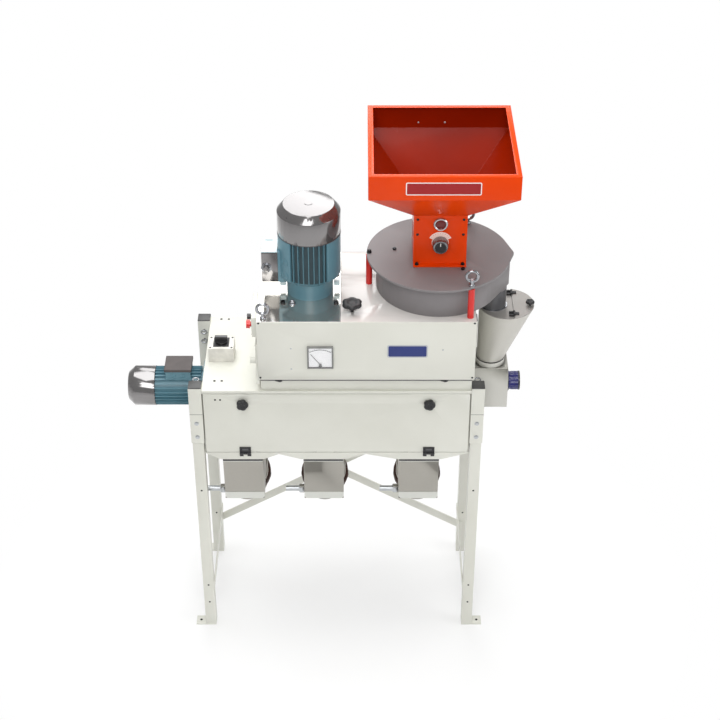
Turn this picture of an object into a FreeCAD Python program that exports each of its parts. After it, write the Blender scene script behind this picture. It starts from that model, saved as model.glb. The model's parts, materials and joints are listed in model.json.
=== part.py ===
import FreeCAD, Part
import math
import os

import Sketcher

# Stone grain mill: a pair of stones in a drum on a belt-driven mill body, fed from a square hopper,
# standing on a centrifugal sifter with three bagging spouts and four telescoped legs.
# Millimetres. +Z up, +Y away from the operator. The origin is on the floor, midway between the legs.

DIMENSIONS = {
    # Legs, corner posts and bracing
    "span_x": 561, "span_y": 255, "post_side": 50, "post_wall": 3, "post_start": 44, "post_over": 9,
    "leg_fit": 0.3, "leg_wall": 3, "leg_overlap": 153, "foot_thick": 6, "foot_reach": 37, "foot_width": 48,
    "foot_hole": 5.5, "foot_hole_in": 19, "cap_thick": 5, "leg_bolt_head": 7, "leg_bolt_high_up": 96,
    "leg_bolt_low_up": 31, "bolt_head_thick": 4, "brace_width": 40, "brace_thick": 4, "brace_low": 150,
    "brace_high": 780, "rail_height": 223, "rail_width": 36,
    # Sifter casing, outlet tray and front door
    "sheet": 2, "casing_gap": 0.3, "casing_front_in": 19, "casing_back_in": 5, "casing_low": 923,
    "casing_tall": 294, "lip_height": 12, "frame_edge": 40, "tray_drop": 34, "tray_peak_drop": 9,
    "outlet_inset": 6, "door_gap": 2, "door_deep": 17,
    "door_side_gap": 5, "hinge_out": 5, "hinge_drop": 1.5, "hinge_width": 44,
    "hinge_barrel": 4.2, "hinge_pin": 2, "hinge_leaf": 28, "hinge_x_left": -355, "hinge_x_right": 355,
    "pin_fit": 0.05, "knob_r": 23, "knob_long": 22, "door_knob_down": 56, "door_knob_left": -357,
    "door_knob_right": 352, "knob_stem": 6, "cam_reach": 42, "cam_thick": 5, "cam_width": 16,
    # Sieve, beater and their drive
    "sieve_up": 137, "sieve_r": 124, "sieve_wall": 1.5, "sieve_left_gap": 40.7, "sieve_right_gap": 25.7,
    "sieve_ring": 10, "sieve_ring_proud": 8, "hanger_half": 8, "beater_r": 118, "beater_width": 26,
    "beater_thick": 5, "beater_count": 4, "beater_end": 12, "hub_wall": 10, "arm_half": 5, "spider_in": 20,
    "shaft_r": 15, "spider_thick": 6, "bearing_r": 34, "bearing_thick": 14, "inlet_side": 56,
    "inlet_in": 18, "inlet_up": 62,
    "sifter_motor_r": 70, "fin_height": 7, "fin_thick": 2.4, "sifter_motor_start": 24,
    "sifter_motor_long": 180, "sifter_cowl_r": 78.5, "sifter_cowl_long": 107, "sifter_flange_r": 100,
    "sifter_flange_thick": 12, "sifter_fins": 28, "sifter_neck_in": 12, "sifter_box_in": 38,
    "sifter_box_long": 98, "sifter_box_half": 45, "sifter_box_y": -1, "sifter_box_low": 55,
    "sifter_box_tall": 41, "sifter_lid_thick": 12, "sifter_lid_edge": 3,
    # Bagging spouts
    "spout_left": -369, "spout_middle": -54, "spout_right": 320, "spout_width": 156,
    "spout_front_in": 23, "spout_lean": 20, "spout_tall": 199, "lip_drop": 28,
    "lip_kick": 6, "lip_floor": 40, "floor_rise": 60, "collar_r": 84, "collar_y": -42, "collar_out": 20,
    "strap_drop": 35, "strap_r": 97, "strap_tall": 34,
    "strap_tilt": 30, "lever_r": 11, "lever_long": 62, "lever_y": -168, "lever_drop": 18,
    "lever_pin": 4, "ear_thick": 4, "ear_half": 8, "knuckle_more": 1.5, "knuckle_rise": 1,
    "knuckle_gap": 0.3, "lever_gap": 0.5, "strap_foot": 8,
    # Mill body
    "body_left_reach": 191, "body_right_reach": 133, "body_front_reach": 264, "body_back_reach": 225,
    "skirt_tall": 94, "body_frame": 28, "body_frame_top": 18, "cable_box_wide": 12, "cable_box_deep": 120,
    "cable_box_up": 8, "cable_box_low": 66, "gland_r": 12, "gland_long": 22, "gland_up": 30,
    "body_tall": 257, "body_wall": 3, "plate_thick": 10, "panel_thick": 2, "skirt_left_in": 4,
    "skirt_right_in": 3, "skirt_front_in": 9, "skirt_back_in": 80, "base_knob_left": -215,
    "base_knob_right": 406, "base_knob_up": 71, "meter_side": 96, "meter_x": -57, "meter_up": 104,
    "meter_proud": 8, "meter_deep": 45, "window_inset": 4, "meter_fit": 0.3, "pointer_hub": 5,
    "pointer_width": 1.6, "pointer_thick": 1, "dial_deep": 4,
    "pointer_long": 60, "pointer_drop": 33, "pointer_lean": 37,
    # Mill axis, stones, spindle and drum
    "mill_x": 380, "mill_y": -46, "stone_r": 190, "bed_thick": 48, "runner_thick": 46,
    "stone_gap": 0.4, "bed_eye": 55, "runner_eye": 45, "furrow_deep": 5, "furrow_wide": 9,
    "furrow_count": 10, "sweeper": 26, "rynd_up": 16, "spindle_r": 20, "spindle_drop": 116,
    "cartridge_r": 52,
    "cartridge_flange": 85, "cartridge_drop": 36, "rynd_width": 16, "rynd_tall": 12,
    "rynd_reach": 58, "rynd_fit": 0.15, "drum_r": 231, "drum_nose": 267, "nose_r": 20,
    "drum_wall": 3, "drum_tall": 124, "lid_r": 266, "lid_nose": 279, "lid_nose_r": 28,
    "lid_thick": 10, "lid_post_r": 12, "lid_post_gap": 14, "lid_post_angle": 64.5,
    "rear_post_gap": 0.6, "rear_post_angle": 60.5, "pipe_reach": 214,
    "pipe_r": 46, "pipe_wall": 2, "pipe_drop": 128,
    # Belt drive
    "pulley_drop": 74, "belt_pitch": 20, "belt_top": 15, "belt_deep": 9, "belt_slope": 2.6,
    "belt_fit": 0.35, "mill_pulley_r": 122, "motor_pulley_r": 46,
    # Main motor
    "motor_x": -97, "motor_y": -85, "motor_flange": 228, "motor_flange_thick": 14, "neck_r": 86,
    "neck_hole": 103, "fin_up": 83, "fin_tall": 166, "motor_r": 106, "motor_fin_r": 114,
    "motor_fins": 36, "cowl_r": 116, "cowl_tall": 89, "cowl_bevel": 27, "cowl_flat_r": 94,
    "cowl_wall": 3, "motor_shaft_r": 14, "fan_r": 92, "fan_up": 35, "fan_tall": 30, "fan_blades": 6,
    "flange_bolt": 98, "terminal_reach": 175, "terminal_base_reach": 115, "terminal_up": 59,
    "terminal_tall": 128, "terminal_half": 47,
    # Feed box and hopper
    "box_side": 194, "box_front": 84, "box_back": 84, "box_tall": 204, "box_wall": 3,
    "box_foot": 22, "foot_plate": 6, "hopper_x": 526, "hopper_y": 546, "hopper_tall": 262,
    "hopper_rim": 92, "hopper_fold": 20, "hopper_wall": 3, "hopper_floor": 1.2, "sight_up": 170,
    "sight_r": 26,
    "sight_glass_r": 19, "sight_proud": 8, "feed_knob_up": 93, "feed_knob_r": 29,
    "feed_knob_long": 35, "feed_shaft_r": 6, "flap_thick": 4, "flap_half": 70, "flap_gap": 2,
    "throat_r": 42,
    # Meal funnel, lower duct and its socket
    "funnel_reach": 50, "funnel_r": 104, "funnel_drop": 95, "funnel_low_out": 81.3, "funnel_low_r": 52,
    "funnel_low_up": 20, "funnel_wall": 2, "duct_collar": 4, "hatch_in": 23, "hatch_thick": 3,
    "hatch_gap": 1,
    "hatch_hinge": 73, "hatch_axis_up": 7.8, "hatch_barrel": 4, "hatch_knob_out": 64, "hatch_knob_in": 12,
    "duct_wide": 149.3, "duct_front_reach": 84, "duct_back_reach": 86, "duct_up": 127, "duct_tall": 165,
    "duct_fold_up": 87,
    "duct_lean": 24, "socket_in": 14, "socket_up": 78, "socket_r": 36, "socket_long": 50,
    "socket_ring": 8, "socket_wall": 4,
   
    # Controls
    "stop_wide": 22, "stop_front_in": 60, "stop_deep": 170, "stop_up": 150, "stop_tall": 84,
    "stop_button_in": 24, "start_button_in": 74, "button_up": 42, "stop_button_r": 16,
    "start_button_r": 11, "button_proud": 14, "button_fit": 0.3, "button_travel": 5,
    "switch_in": 14.7, "switch_wide": 98, "switch_front": -63, "switch_deep": 84,
    "switch_tall": 62, "switch_knob_r": 24, "switch_grip": 22, "tension_out": 157, "tension_in": 72,
    "star_r": 38, "star_thick": 18, "star_lobes": 6, "star_boss": 0.72, "star_lobe_tall": 0.8,
    "tension_stand": 22, "small_star_r": 17,
    # Eye bolts
    "eye_ring": 21, "eye_wire": 6, "eye_neck": 26, "eye_in": 24, "eye_front_in": 22,
    "tie_ring": 11, "tie_wire": 3, "eye_collar_r": 11, "eye_collar_tall": 8, "eye_neck_r": 7,
    "tie_shank_r": 4, "tie_shank_long": 10, "tie_down": 4, "tie_down_back": 40,
    # Screw heads
    "nut_r": 9, "nut_tall": 12, "box_screw_x": 84, "box_screw_r": 6, "box_screw_tall": 8,
    "flange_screw_r": 9, "flange_screw_tall": 7, "panel_screw_r": 4, "panel_screw_tall": 2,
    "panel_screw_in": 8, "panel_screw_low": 10, "panel_screw_high": 5, "lid_nut_r": 7, "lid_nut_tall": 8,
    "lid_nut_left": 163, "lid_nut_back": 20, "lid_nut_front": 14,
}

doc = FreeCAD.newDocument("stone_grain_mill")
sheet = doc.addObject("Spreadsheet::Sheet", "sizes")


class Size:
    """A length that carries both its number in mm and the words by which the sheet gives it."""

    def __init__(self, number, words):
        self.number = float(number)
        self.words = words

    def mix(self, other, sign, number):
        return Size(number, f"({self.words} {sign} {words_of(other)})")

    def __add__(self, other):
        return self.mix(other, "+", self.number + number_of(other))

    def __radd__(self, other):
        return self + other

    def __sub__(self, other):
        return self.mix(other, "-", self.number - number_of(other))

    def __rsub__(self, other):
        return Size(other - self.number, f"({other} - {self.words})")

    def __mul__(self, other):
        return self.mix(other, "*", self.number * number_of(other))

    def __rmul__(self, other):
        return self * other

    def __truediv__(self, other):
        return self.mix(other, "/", self.number / number_of(other))

    def __neg__(self):
        return self * -1


def number_of(value):
    return value.number if isinstance(value, Size) else float(value)


def words_of(value):
    return value.words if isinstance(value, Size) else str(value)


class Sizes:
    """Every driving dimension of the sheet, by its name."""


s = Sizes()
for row, (name, number) in enumerate(DIMENSIONS.items(), start=1):
    sheet.set(f"A{row}", name)
    sheet.set(f"B{row}", str(number))
    sheet.setAlias(f"B{row}", name)
    setattr(s, name, Size(number, f"sizes.{name}"))
doc.recompute()

# Ways to turn a piece made along +Z
UPRIGHT = FreeCAD.Rotation()
ALONG_X = FreeCAD.Rotation(FreeCAD.Vector(0, 1, 0), 90)
AGAINST_X = FreeCAD.Rotation(FreeCAD.Vector(0, 1, 0), -90)
ALONG_Y = FreeCAD.Rotation(FreeCAD.Vector(1, 0, 0), -90)
nodes = []


def bind(thing, path, value):
    if isinstance(value, Size):
        thing.setExpression(path, value.words)
    elif path.startswith("Placement.Base."):
        base = thing.Placement.Base
        setattr(base, path[-1], float(value))
        thing.Placement.Base = base
    else:
        setattr(thing, path, value)


def put(thing, corner, turn=UPRIGHT):
    thing.Placement = FreeCAD.Placement(FreeCAD.Vector(0, 0, 0), turn)
    for axis, value in zip("xyz", corner):
        bind(thing, f"Placement.Base.{axis}", value)
    return thing


def block(corner, span):
    thing = doc.addObject("Part::Box", "Block")
    for path, value in zip(("Length", "Width", "Height"), span):
        bind(thing, path, value)
    return put(thing, corner)


def slab(low, high):
    """A block from its low corner to its high corner."""
    return block(low, [b - a for a, b in zip(low, high)])


def rod(centre, radius, length, turn=UPRIGHT):
    thing = doc.addObject("Part::Cylinder", "Rod")
    bind(thing, "Radius", radius)
    bind(thing, "Height", length)
    return put(thing, centre, turn)


def cone(centre, low_radius, high_radius, length, turn=UPRIGHT):
    thing = doc.addObject("Part::Cone", "Cone")
    bind(thing, "Radius1", low_radius)
    bind(thing, "Radius2", high_radius)
    bind(thing, "Height", length)
    return put(thing, centre, turn)


def union(*things):
    if len(things) == 1:
        return things[0]
    thing = doc.addObject("Part::MultiFuse", "Union")
    thing.Shapes = list(things)
    return thing


def cut(base, *tools):
    thing = doc.addObject("Part::Cut", "Cut")
    thing.Base = base
    thing.Tool = union(*tools)
    return thing


def common(*things):
    thing = doc.addObject("Part::MultiCommon", "Common")
    thing.Shapes = list(things)
    return thing


def group(*things):
    thing = doc.addObject("Part::Compound", "Group")
    thing.Links = list(things)
    return thing


def node(name, thing):
    thing.Label = name
    nodes.append(thing)
    return thing


def new_body(name, place=(0, 0, 0), turn=UPRIGHT):
    body = doc.addObject("PartDesign::Body", name)
    return put(body, place, turn)


def origin_of(body, role):
    return [item for item in body.Origin.OriginFeatures if item.Role == role][0]


def sketch_on(body, name, plane, lift=None):
    sketch = body.newObject("Sketcher::SketchObject", name)
    sketch.AttachmentSupport = [(origin_of(body, plane), "")]
    sketch.MapMode = "FlatFace"
    if lift is not None:
        sketch.setExpression("AttachmentOffset.Base.z", words_of(lift))
    return sketch


def limit(sketch, kind, references, value):
    index = sketch.addConstraint(Sketcher.Constraint(kind, *references, number_of(value)))
    if isinstance(value, Size):
        sketch.setExpression(f"Constraints[{index}]", value.words)


def fix_point(sketch, geometry, point, place):
    limit(sketch, "DistanceX", (-1, 1, geometry, point), place[0])
    limit(sketch, "DistanceY", (-1, 1, geometry, point), place[1])


def outline(sketch, points):
    """A closed outline of straight edges, each corner held by two sizes."""
    corners = [FreeCAD.Vector(number_of(x), number_of(y), 0) for x, y in points]
    first = sketch.GeometryCount
    count = len(corners)
    for index in range(count):
        edge = Part.LineSegment(corners[index], corners[(index + 1) % count])
        sketch.addGeometry(edge, False)
    for index in range(count):
        follower = first + (index + 1) % count
        sketch.addConstraint(Sketcher.Constraint("Coincident", first + index, 2, follower, 1))
        fix_point(sketch, first + index, 1, points[index])
    return sketch


def circle(sketch, centre, radius):
    middle = FreeCAD.Vector(number_of(centre[0]), number_of(centre[1]), 0)
    shape = Part.Circle(middle, FreeCAD.Vector(0, 0, 1), number_of(radius))
    index = sketch.addGeometry(shape, False)
    limit(sketch, "Radius", (index,), radius)
    fix_point(sketch, index, 3, centre)
    return sketch


def nosed_circle(sketch, radius, nose_x, nose_y, nose_radius):
    """A round outline drawn out to a smaller round nose by two tangent lines."""
    big, small = number_of(radius), number_of(nose_radius)
    far_x, far_y = number_of(nose_x), number_of(nose_y)
    reach = math.hypot(far_x, far_y)
    bearing = math.atan2(far_y, far_x)
    swing = math.acos((big - small) / reach)
    up = FreeCAD.Vector(0, 0, 1)

    def spot(x, y, size, angle):
        return FreeCAD.Vector(x + size * math.cos(angle), y + size * math.sin(angle), 0)

    wide = Part.Circle(FreeCAD.Vector(0, 0, 0), up, big)
    tight = Part.Circle(FreeCAD.Vector(far_x, far_y, 0), up, small)
    drum = sketch.addGeometry(
        Part.ArcOfCircle(wide, bearing + swing, bearing + 2 * math.pi - swing), False)
    nose = sketch.addGeometry(Part.ArcOfCircle(tight, bearing - swing, bearing + swing), False)
    left = sketch.addGeometry(Part.LineSegment(
        spot(0, 0, big, bearing + swing), spot(far_x, far_y, small, bearing + swing)), False)
    right = sketch.addGeometry(Part.LineSegment(
        spot(far_x, far_y, small, bearing - swing), spot(0, 0, big, bearing - swing)), False)
    for pair in ((drum, 1, left, 1), (left, 2, nose, 2), (nose, 1, right, 1), (right, 2, drum, 2)):
        sketch.addConstraint(Sketcher.Constraint("Tangent", *pair))
    limit(sketch, "Radius", (drum,), radius)
    limit(sketch, "Radius", (nose,), nose_radius)
    sketch.addConstraint(Sketcher.Constraint("Coincident", drum, 3, -1, 1))
    fix_point(sketch, nose, 3, (nose_x, nose_y))
    return sketch


def pad(body, sketch, length, **settings):
    feature = body.newObject("PartDesign::Pad", "Pad")
    feature.Profile = sketch
    bind(feature, "Length", length)
    for name, value in settings.items():
        setattr(feature, name, value)
    return feature


def pocket(body, sketch, length=None, **settings):
    feature = body.newObject("PartDesign::Pocket", "Pocket")
    feature.Profile = sketch
    if length is None:
        feature.Type = "ThroughAll"
    else:
        bind(feature, "Length", length)
    for name, value in settings.items():
        setattr(feature, name, value)
    return feature


def revolve(body, sketch, kind="PartDesign::Revolution"):
    feature = body.newObject(kind, "Turn")
    feature.Profile = sketch
    feature.ReferenceAxis = (sketch, ["V_Axis"])
    feature.Angle = 360
    return feature


def polar(body, feature, count):
    doc.recompute()
    pattern = body.newObject("PartDesign::PolarPattern", "Polar")
    pattern.Originals = [feature]
    pattern.Axis = (origin_of(body, "Z_Axis"), [""])
    pattern.Angle = 360
    bind(pattern, "Occurrences", count)
    body.Tip = pattern
    return pattern


def turned(name, points, place, turn=UPRIGHT):
    """A body of revolution about its own Z: points are (radius, height)."""
    body = new_body(name, place, turn)
    revolve(body, outline(sketch_on(body, "Profile", "XZ_Plane"), points))
    return body


def plate(name, plane, points, lift, length):
    """A flat plate with straight edges, from its outline on one of the three planes."""
    body = new_body(name)
    pad(body, outline(sketch_on(body, "Outline", plane, lift), points), length)
    return body


def ring(centre, radius, wire, turn=UPRIGHT):
    """A ring of eight-sided wire about its own Z."""
    bend = wire * 0.4142
    points = [(radius - wire, -1 * bend), (radius - bend, -1 * wire), (radius + bend, -1 * wire),
              (radius + wire, -1 * bend), (radius + wire, bend), (radius + bend, wire),
              (radius - bend, wire), (radius - wire, bend)]
    return turned("eye_ring", points, centre, turn)


# Places that several pieces share
post_x = s.span_x - s.post_side / 2
post_y = s.span_y - s.post_side / 2
post_in_x = s.span_x - s.post_side
post_in_y = s.span_y - s.post_side
casing_x = post_in_x - s.casing_gap
leg_side = s.post_side - 2 * s.post_wall - 2 * s.leg_fit
leg_in_x = post_x - leg_side / 2
leg_in_y = post_y - leg_side / 2
foot_x = s.span_x + s.foot_reach
corners = [(sx, sy) for sx in (-1, 1) for sy in (-1, 1)]
casing_top = s.casing_low + s.casing_tall
casing_front = -1 * s.span_y + s.casing_front_in
casing_back = s.span_y - s.casing_back_in
post_low = s.casing_low + s.post_start
post_top = casing_top + s.post_over
leg_top = post_low + s.leg_overlap
leg_bolt_high = post_low + s.leg_bolt_high_up
leg_bolt_low = post_low + s.leg_bolt_low_up
tray_low = s.casing_low - s.tray_drop
tray_peak = s.casing_low - s.tray_peak_drop
hinge_axis_y = -1 * s.span_y - s.hinge_out
hinge_axis_z = s.casing_low - s.hinge_drop
door_knob_z = casing_top - s.door_knob_down
sieve_z = s.casing_low + s.sieve_up
sieve_left = -1 * casing_x + s.sieve_left_gap
sieve_right = casing_x - s.sieve_right_gap
duct_low = s.casing_low + s.duct_up
duct_high = duct_low + s.duct_tall
duct_fold = duct_low + s.duct_fold_up
duct_right = casing_x + s.duct_wide
duct_front = s.mill_y - s.duct_front_reach
duct_back = s.mill_y + s.duct_back_reach
inlet_z = duct_low + s.inlet_up
inlet_y = s.mill_y - s.inlet_in
socket_y = s.mill_y - s.socket_in
socket_z = duct_low + s.socket_up
spout_top_front = -1 * s.span_y + s.spout_front_in
spout_low_front = spout_top_front + s.spout_lean
spout_low = tray_low - s.spout_tall
lip_low = spout_low - s.lip_drop
strap_z = spout_low - s.strap_drop
lever_z = spout_low - s.lever_drop
body_low = casing_top + s.skirt_tall
body_top = body_low + s.body_tall
body_front = s.mill_y - s.body_front_reach
body_back = s.mill_y + s.body_back_reach
body_left = s.motor_x - s.body_left_reach
body_right = s.mill_x + s.body_right_reach
panel_front = body_front - s.panel_thick
skirt_left = body_left + s.skirt_left_in
skirt_right = body_right - s.skirt_right_in
skirt_front = -1 * s.span_y + s.skirt_front_in
skirt_back = s.span_y - s.skirt_back_in
base_knob_z = casing_top + s.base_knob_up
meter_z = body_low + s.meter_up
spindle_low = body_top - s.spindle_drop
cartridge_low = body_top - s.cartridge_drop
drum_top = body_top + s.drum_tall
lid_high = drum_top + s.lid_thick
pipe_x = s.mill_x + s.pipe_reach
pipe_low = body_top - s.pipe_drop
pulley_z = body_top - s.pulley_drop
fin_low = body_top + s.fin_up
fin_top = fin_low + s.fin_tall
cowl_shoulder = fin_top + s.cowl_tall
cowl_top = cowl_shoulder + s.cowl_bevel
fan_z = fin_top + s.fan_up
terminal_low = body_top + s.terminal_up
terminal_high = terminal_low + s.terminal_tall
terminal_left = s.motor_x - s.terminal_reach
terminal_right = s.motor_x - s.terminal_base_reach
box_top = lid_high + s.box_tall
hopper_top = box_top + s.hopper_tall
sight_z = lid_high + s.sight_up
feed_knob_z = lid_high + s.feed_knob_up
funnel_x = pipe_x + s.funnel_reach
funnel_top = body_top - s.funnel_drop
funnel_low_x = casing_x + s.funnel_low_out
funnel_low = duct_high + s.funnel_low_up
hatch_x = funnel_x + s.hatch_in
hatch_knob_x = hatch_x + s.hatch_knob_out
hatch_knob_y = s.mill_y - s.hatch_knob_in
stop_left = body_left - s.stop_wide
stop_front = body_front + s.stop_front_in
stop_back = stop_front + s.stop_deep
stop_low = body_low + s.stop_up
stop_high = stop_low + s.stop_tall
stop_button_y = stop_front + s.stop_button_in
start_button_y = stop_front + s.start_button_in
button_z = stop_low + s.button_up
switch_left = -1 * casing_x + s.switch_in
tension_x = s.motor_x + s.tension_out
tension_y = body_front + s.tension_in
eye_x = body_left + s.eye_in
eye_y = body_front + s.eye_front_in
spouts = (s.spout_left, s.spout_middle, s.spout_right)
spout_back = s.collar_y + s.collar_r - s.collar_out


def square_tube(centre, side, wall, low, high):
    x, y = centre
    outer = block((x - side / 2, y - side / 2, low), (side, side, high - low))
    hollow = side - 2 * wall
    inner = block((x - hollow / 2, y - hollow / 2, low - 1), (hollow, hollow, high - low + 2))
    return cut(outer, inner)


def build_frame():
    legs, posts, caps, bolts = [], [], [], []
    for sx, sy in corners:
        x, y = post_x * sx, post_y * sy
        tube = square_tube((x, y), leg_side, s.leg_wall, s.foot_thick, leg_top)
        reach = foot_x - leg_in_x
        start = leg_in_x if sx > 0 else -1 * foot_x
        foot = block((start, y - s.foot_width / 2, 0), (reach, s.foot_width, s.foot_thick))
        hole = rod(((foot_x - s.foot_hole_in) * sx, y, -1), s.foot_hole, s.foot_thick + 2)
        legs.append(cut(union(tube, foot), hole))
        posts.append(square_tube((x, y), s.post_side, s.post_wall, post_low, post_top))
        corner = (x - s.post_side / 2, y - s.post_side / 2, post_top)
        caps.append(block(corner, (s.post_side, s.post_side, s.cap_thick)))
        face = s.span_y if sy > 0 else -1 * s.span_y - s.bolt_head_thick
        for height in (leg_bolt_high, leg_bolt_low):
            bolts.append(rod((x, face, height), s.leg_bolt_head, s.bolt_head_thick, ALONG_Y))
    node("legs", group(*legs))
    node("corner_posts", group(*posts))
    node("post_caps", group(*caps))
    return bolts


def build_braces():
    """Two flat bars cross behind the rear legs, and one rail ties each side."""
    bars = []
    rise = s.brace_high - s.brace_low
    half = s.brace_width / 2
    for sign, face in ((1, leg_in_y + leg_side + s.brace_thick), (-1, leg_in_y)):
        bar = new_body("brace")
        low_x, high_x = -1 * sign * post_x, sign * post_x
        bar_sketch = sketch_on(bar, "Side", "XZ_Plane")
        outline(bar_sketch, [(low_x, s.brace_low - half), (low_x, s.brace_low + half),
                             (high_x, s.brace_low + rise + half), (high_x, s.brace_low + rise - half)])
        pad(bar, bar_sketch, s.brace_thick)
        bars.append(put(bar, (0, face, 0)))
    for sx in (-1, 1):
        x = leg_in_x - s.brace_thick if sx > 0 else -1 * leg_in_x
        rail_low = s.rail_height - s.rail_width / 2
        bars.append(block((x, -1 * post_y - leg_side / 2, rail_low),
                          (s.brace_thick, 2 * post_y + leg_side, s.rail_width)))
    node("leg_braces", group(*bars))


def build_casing():
    low, high = s.casing_low, casing_top
    shell = slab((-1 * casing_x, casing_front, low), (casing_x, casing_back, high))
    room = slab((-1 * casing_x + s.sheet, casing_front + s.sheet, low - 1),
                (casing_x - s.sheet, casing_back - s.sheet, high - s.sheet))
    mouth = slab((-1 * casing_x + s.frame_edge, casing_front - 1, low + s.frame_edge),
                 (casing_x - s.frame_edge, casing_front + s.sheet + 1, high - s.frame_edge))
    motor_hole = rod((-1 * casing_x - 1, 0, sieve_z), s.bearing_r - 6, s.sheet + 2, ALONG_X)
    half = s.inlet_side / 2
    inlet = slab((casing_x - s.sheet - 1, inlet_y - half, inlet_z - half),
                 (casing_x + 1, inlet_y + half, inlet_z + half))
    eave = slab((-1 * casing_x, -1 * s.span_y, high - s.sheet), (casing_x, casing_front, high))
    drip = slab((-1 * casing_x, -1 * s.span_y, high - s.lip_height),
                (casing_x, -1 * s.span_y + s.sheet, high - s.sheet))
    node("sifter_casing", union(cut(shell, room, mouth, motor_hole, inlet), eave, drip))


def build_tray():
    """The casing's floor: a bent sheet tray with three outlets, its underside a zigzag."""
    tray = new_body("outlet_tray", (0, casing_back, 0))
    reach = s.spout_width / 2 + 6
    shoulder = s.casing_low - 3
    low, peak = tray_low, tray_peak

    def zigzag(rise, inset):
        points = [(-1 * casing_x + inset, s.casing_low + rise), (-1 * casing_x + inset, shoulder + rise)]
        for index, x in enumerate(spouts):
            points += [(x - reach, low + rise), (x + reach, low + rise)]
            if index < 2:
                near = (x + reach) * 0.6 + (spouts[index + 1] - reach) * 0.4
                points.append((near, peak + rise))
        points += [(casing_x - inset, shoulder + rise), (casing_x - inset, s.casing_low + rise)]
        return points

    outer = outline(sketch_on(tray, "Outside", "XZ_Plane"), zigzag(0, 0))
    pad(tray, outer, casing_back + s.span_y)
    inner = outline(sketch_on(tray, "Inside", "XZ_Plane", s.sheet), zigzag(s.sheet, s.sheet))
    pocket(tray, inner, casing_back + s.span_y - 2 * s.sheet, Reversed=True)
    holes = sketch_on(tray, "Outlets", "XY_Plane")
    half = s.spout_width / 2 - s.outlet_inset
    near = spout_top_front + s.outlet_inset - casing_back
    far = spout_back - s.outlet_inset - casing_back
    for x in spouts:
        outline(holes, [(x - half, near), (x + half, near), (x + half, far), (x - half, far)])
    pocket(tray, holes, s.casing_low, Reversed=True)
    node("outlet_tray", tray)


def build_door():
    """The sifter's front door: a folded pan on two bottom hinges, held by two quarter-turn knobs."""
    low, high = s.casing_low + s.door_gap, casing_top - s.lip_height - s.door_gap
    half = casing_x - s.door_side_gap
    front = -1 * s.span_y
    pan = slab((-1 * half, front, low), (half, front + s.door_deep, high))
    hollow = slab((-1 * half + s.sheet, front + s.sheet, low + s.sheet),
                  (half - s.sheet, front + s.door_deep + 1, high - s.sheet))
    holes = [rod((x, front - 1, door_knob_z), s.knob_stem + s.pin_fit, s.sheet + 2, ALONG_Y)
             for x in (s.door_knob_left, s.door_knob_right)]
    node("sifter_door", cut(pan, hollow, *holes))
    build_door_hinges(front, low)
    for name, x in (("door_knob_left", s.door_knob_left), ("door_knob_right", s.door_knob_right)):
        knob = rod((x, front - s.knob_long, door_knob_z), s.knob_r, s.knob_long - 0.3, ALONG_Y)
        stem_long = casing_front + s.sheet - front + s.cam_thick + 1
        stem = rod((x, front - 1, door_knob_z), s.knob_stem, stem_long, ALONG_Y)
        cam_y = casing_front + s.sheet + 0.3
        cam = slab((x - s.cam_width / 2, cam_y, door_knob_z - s.cam_width / 2),
                   (x + s.cam_reach, cam_y + s.cam_thick, door_knob_z + s.cam_width / 2))
        node(name, union(knob, stem, cam))


def build_door_hinges(front, door_low):
    """Two hinges: ears on the tray's front edge, a knuckle with its pin and leaf on the door."""
    fixed, moving = [], []
    third = s.hinge_width / 3
    axis_y, axis_z = hinge_axis_y, hinge_axis_z
    ear_low, leaf_high = axis_z - s.hinge_barrel - 11, axis_z + s.hinge_leaf
    for x in (s.hinge_x_left, s.hinge_x_right):
        left = x - s.hinge_width / 2
        for start in (left, left + 2 * third + 0.3):
            ear = union(rod((start, axis_y, axis_z), s.hinge_barrel, third - 0.3, ALONG_X),
                        slab((start, front - 3, ear_low), (start + third - 0.3, front, axis_z)))
            bore = rod((start - 1, axis_y, axis_z), s.hinge_pin + s.pin_fit, third + 2, ALONG_X)
            fixed.append(cut(ear, bore))
        knuckle = rod((left + third, axis_y, axis_z), s.hinge_barrel, third, ALONG_X)
        pin = rod((left, axis_y, axis_z), s.hinge_pin, s.hinge_width, ALONG_X)
        web = slab((left + third, front - 4, axis_z), (left + 2 * third, front, door_low + 4))
        leaf = slab((left, front - 4, axis_z + s.hinge_barrel + 0.5),
                    (left + s.hinge_width, front, leaf_high))
        moving.append(union(knuckle, pin, web, leaf))
    node("door_hinge_fixed", group(*fixed))
    node("door_hinge_moving", group(*moving))


def build_sieve():
    """A still screen drum on end rings, and inside it a shaft that carries the beater bars."""
    length = sieve_right - sieve_left
    shell = cut(rod((sieve_left, 0, sieve_z), s.sieve_r, length, ALONG_X),
                rod((sieve_left - 1, 0, sieve_z), s.sieve_r - s.sieve_wall, length + 2, ALONG_X))
    rings = []
    for x in (sieve_left, sieve_right - s.sieve_ring):
        rings.append(cut(rod((x, 0, sieve_z), s.sieve_r + s.sieve_ring_proud, s.sieve_ring, ALONG_X),
                         rod((x - 1, 0, sieve_z), s.sieve_r - s.sieve_wall, s.sieve_ring + 2, ALONG_X)))
    hangers = []
    for x in (sieve_left, sieve_right - s.sieve_ring):
        hangers.append(slab((x, s.sieve_r, sieve_z - s.hanger_half),
                            (x + s.sieve_ring, casing_back - s.sheet, sieve_z + s.hanger_half)))
    node("sieve_screen", union(shell, *rings, *hangers))
    node("beater_rotor", group(*beater_pieces()))


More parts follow.
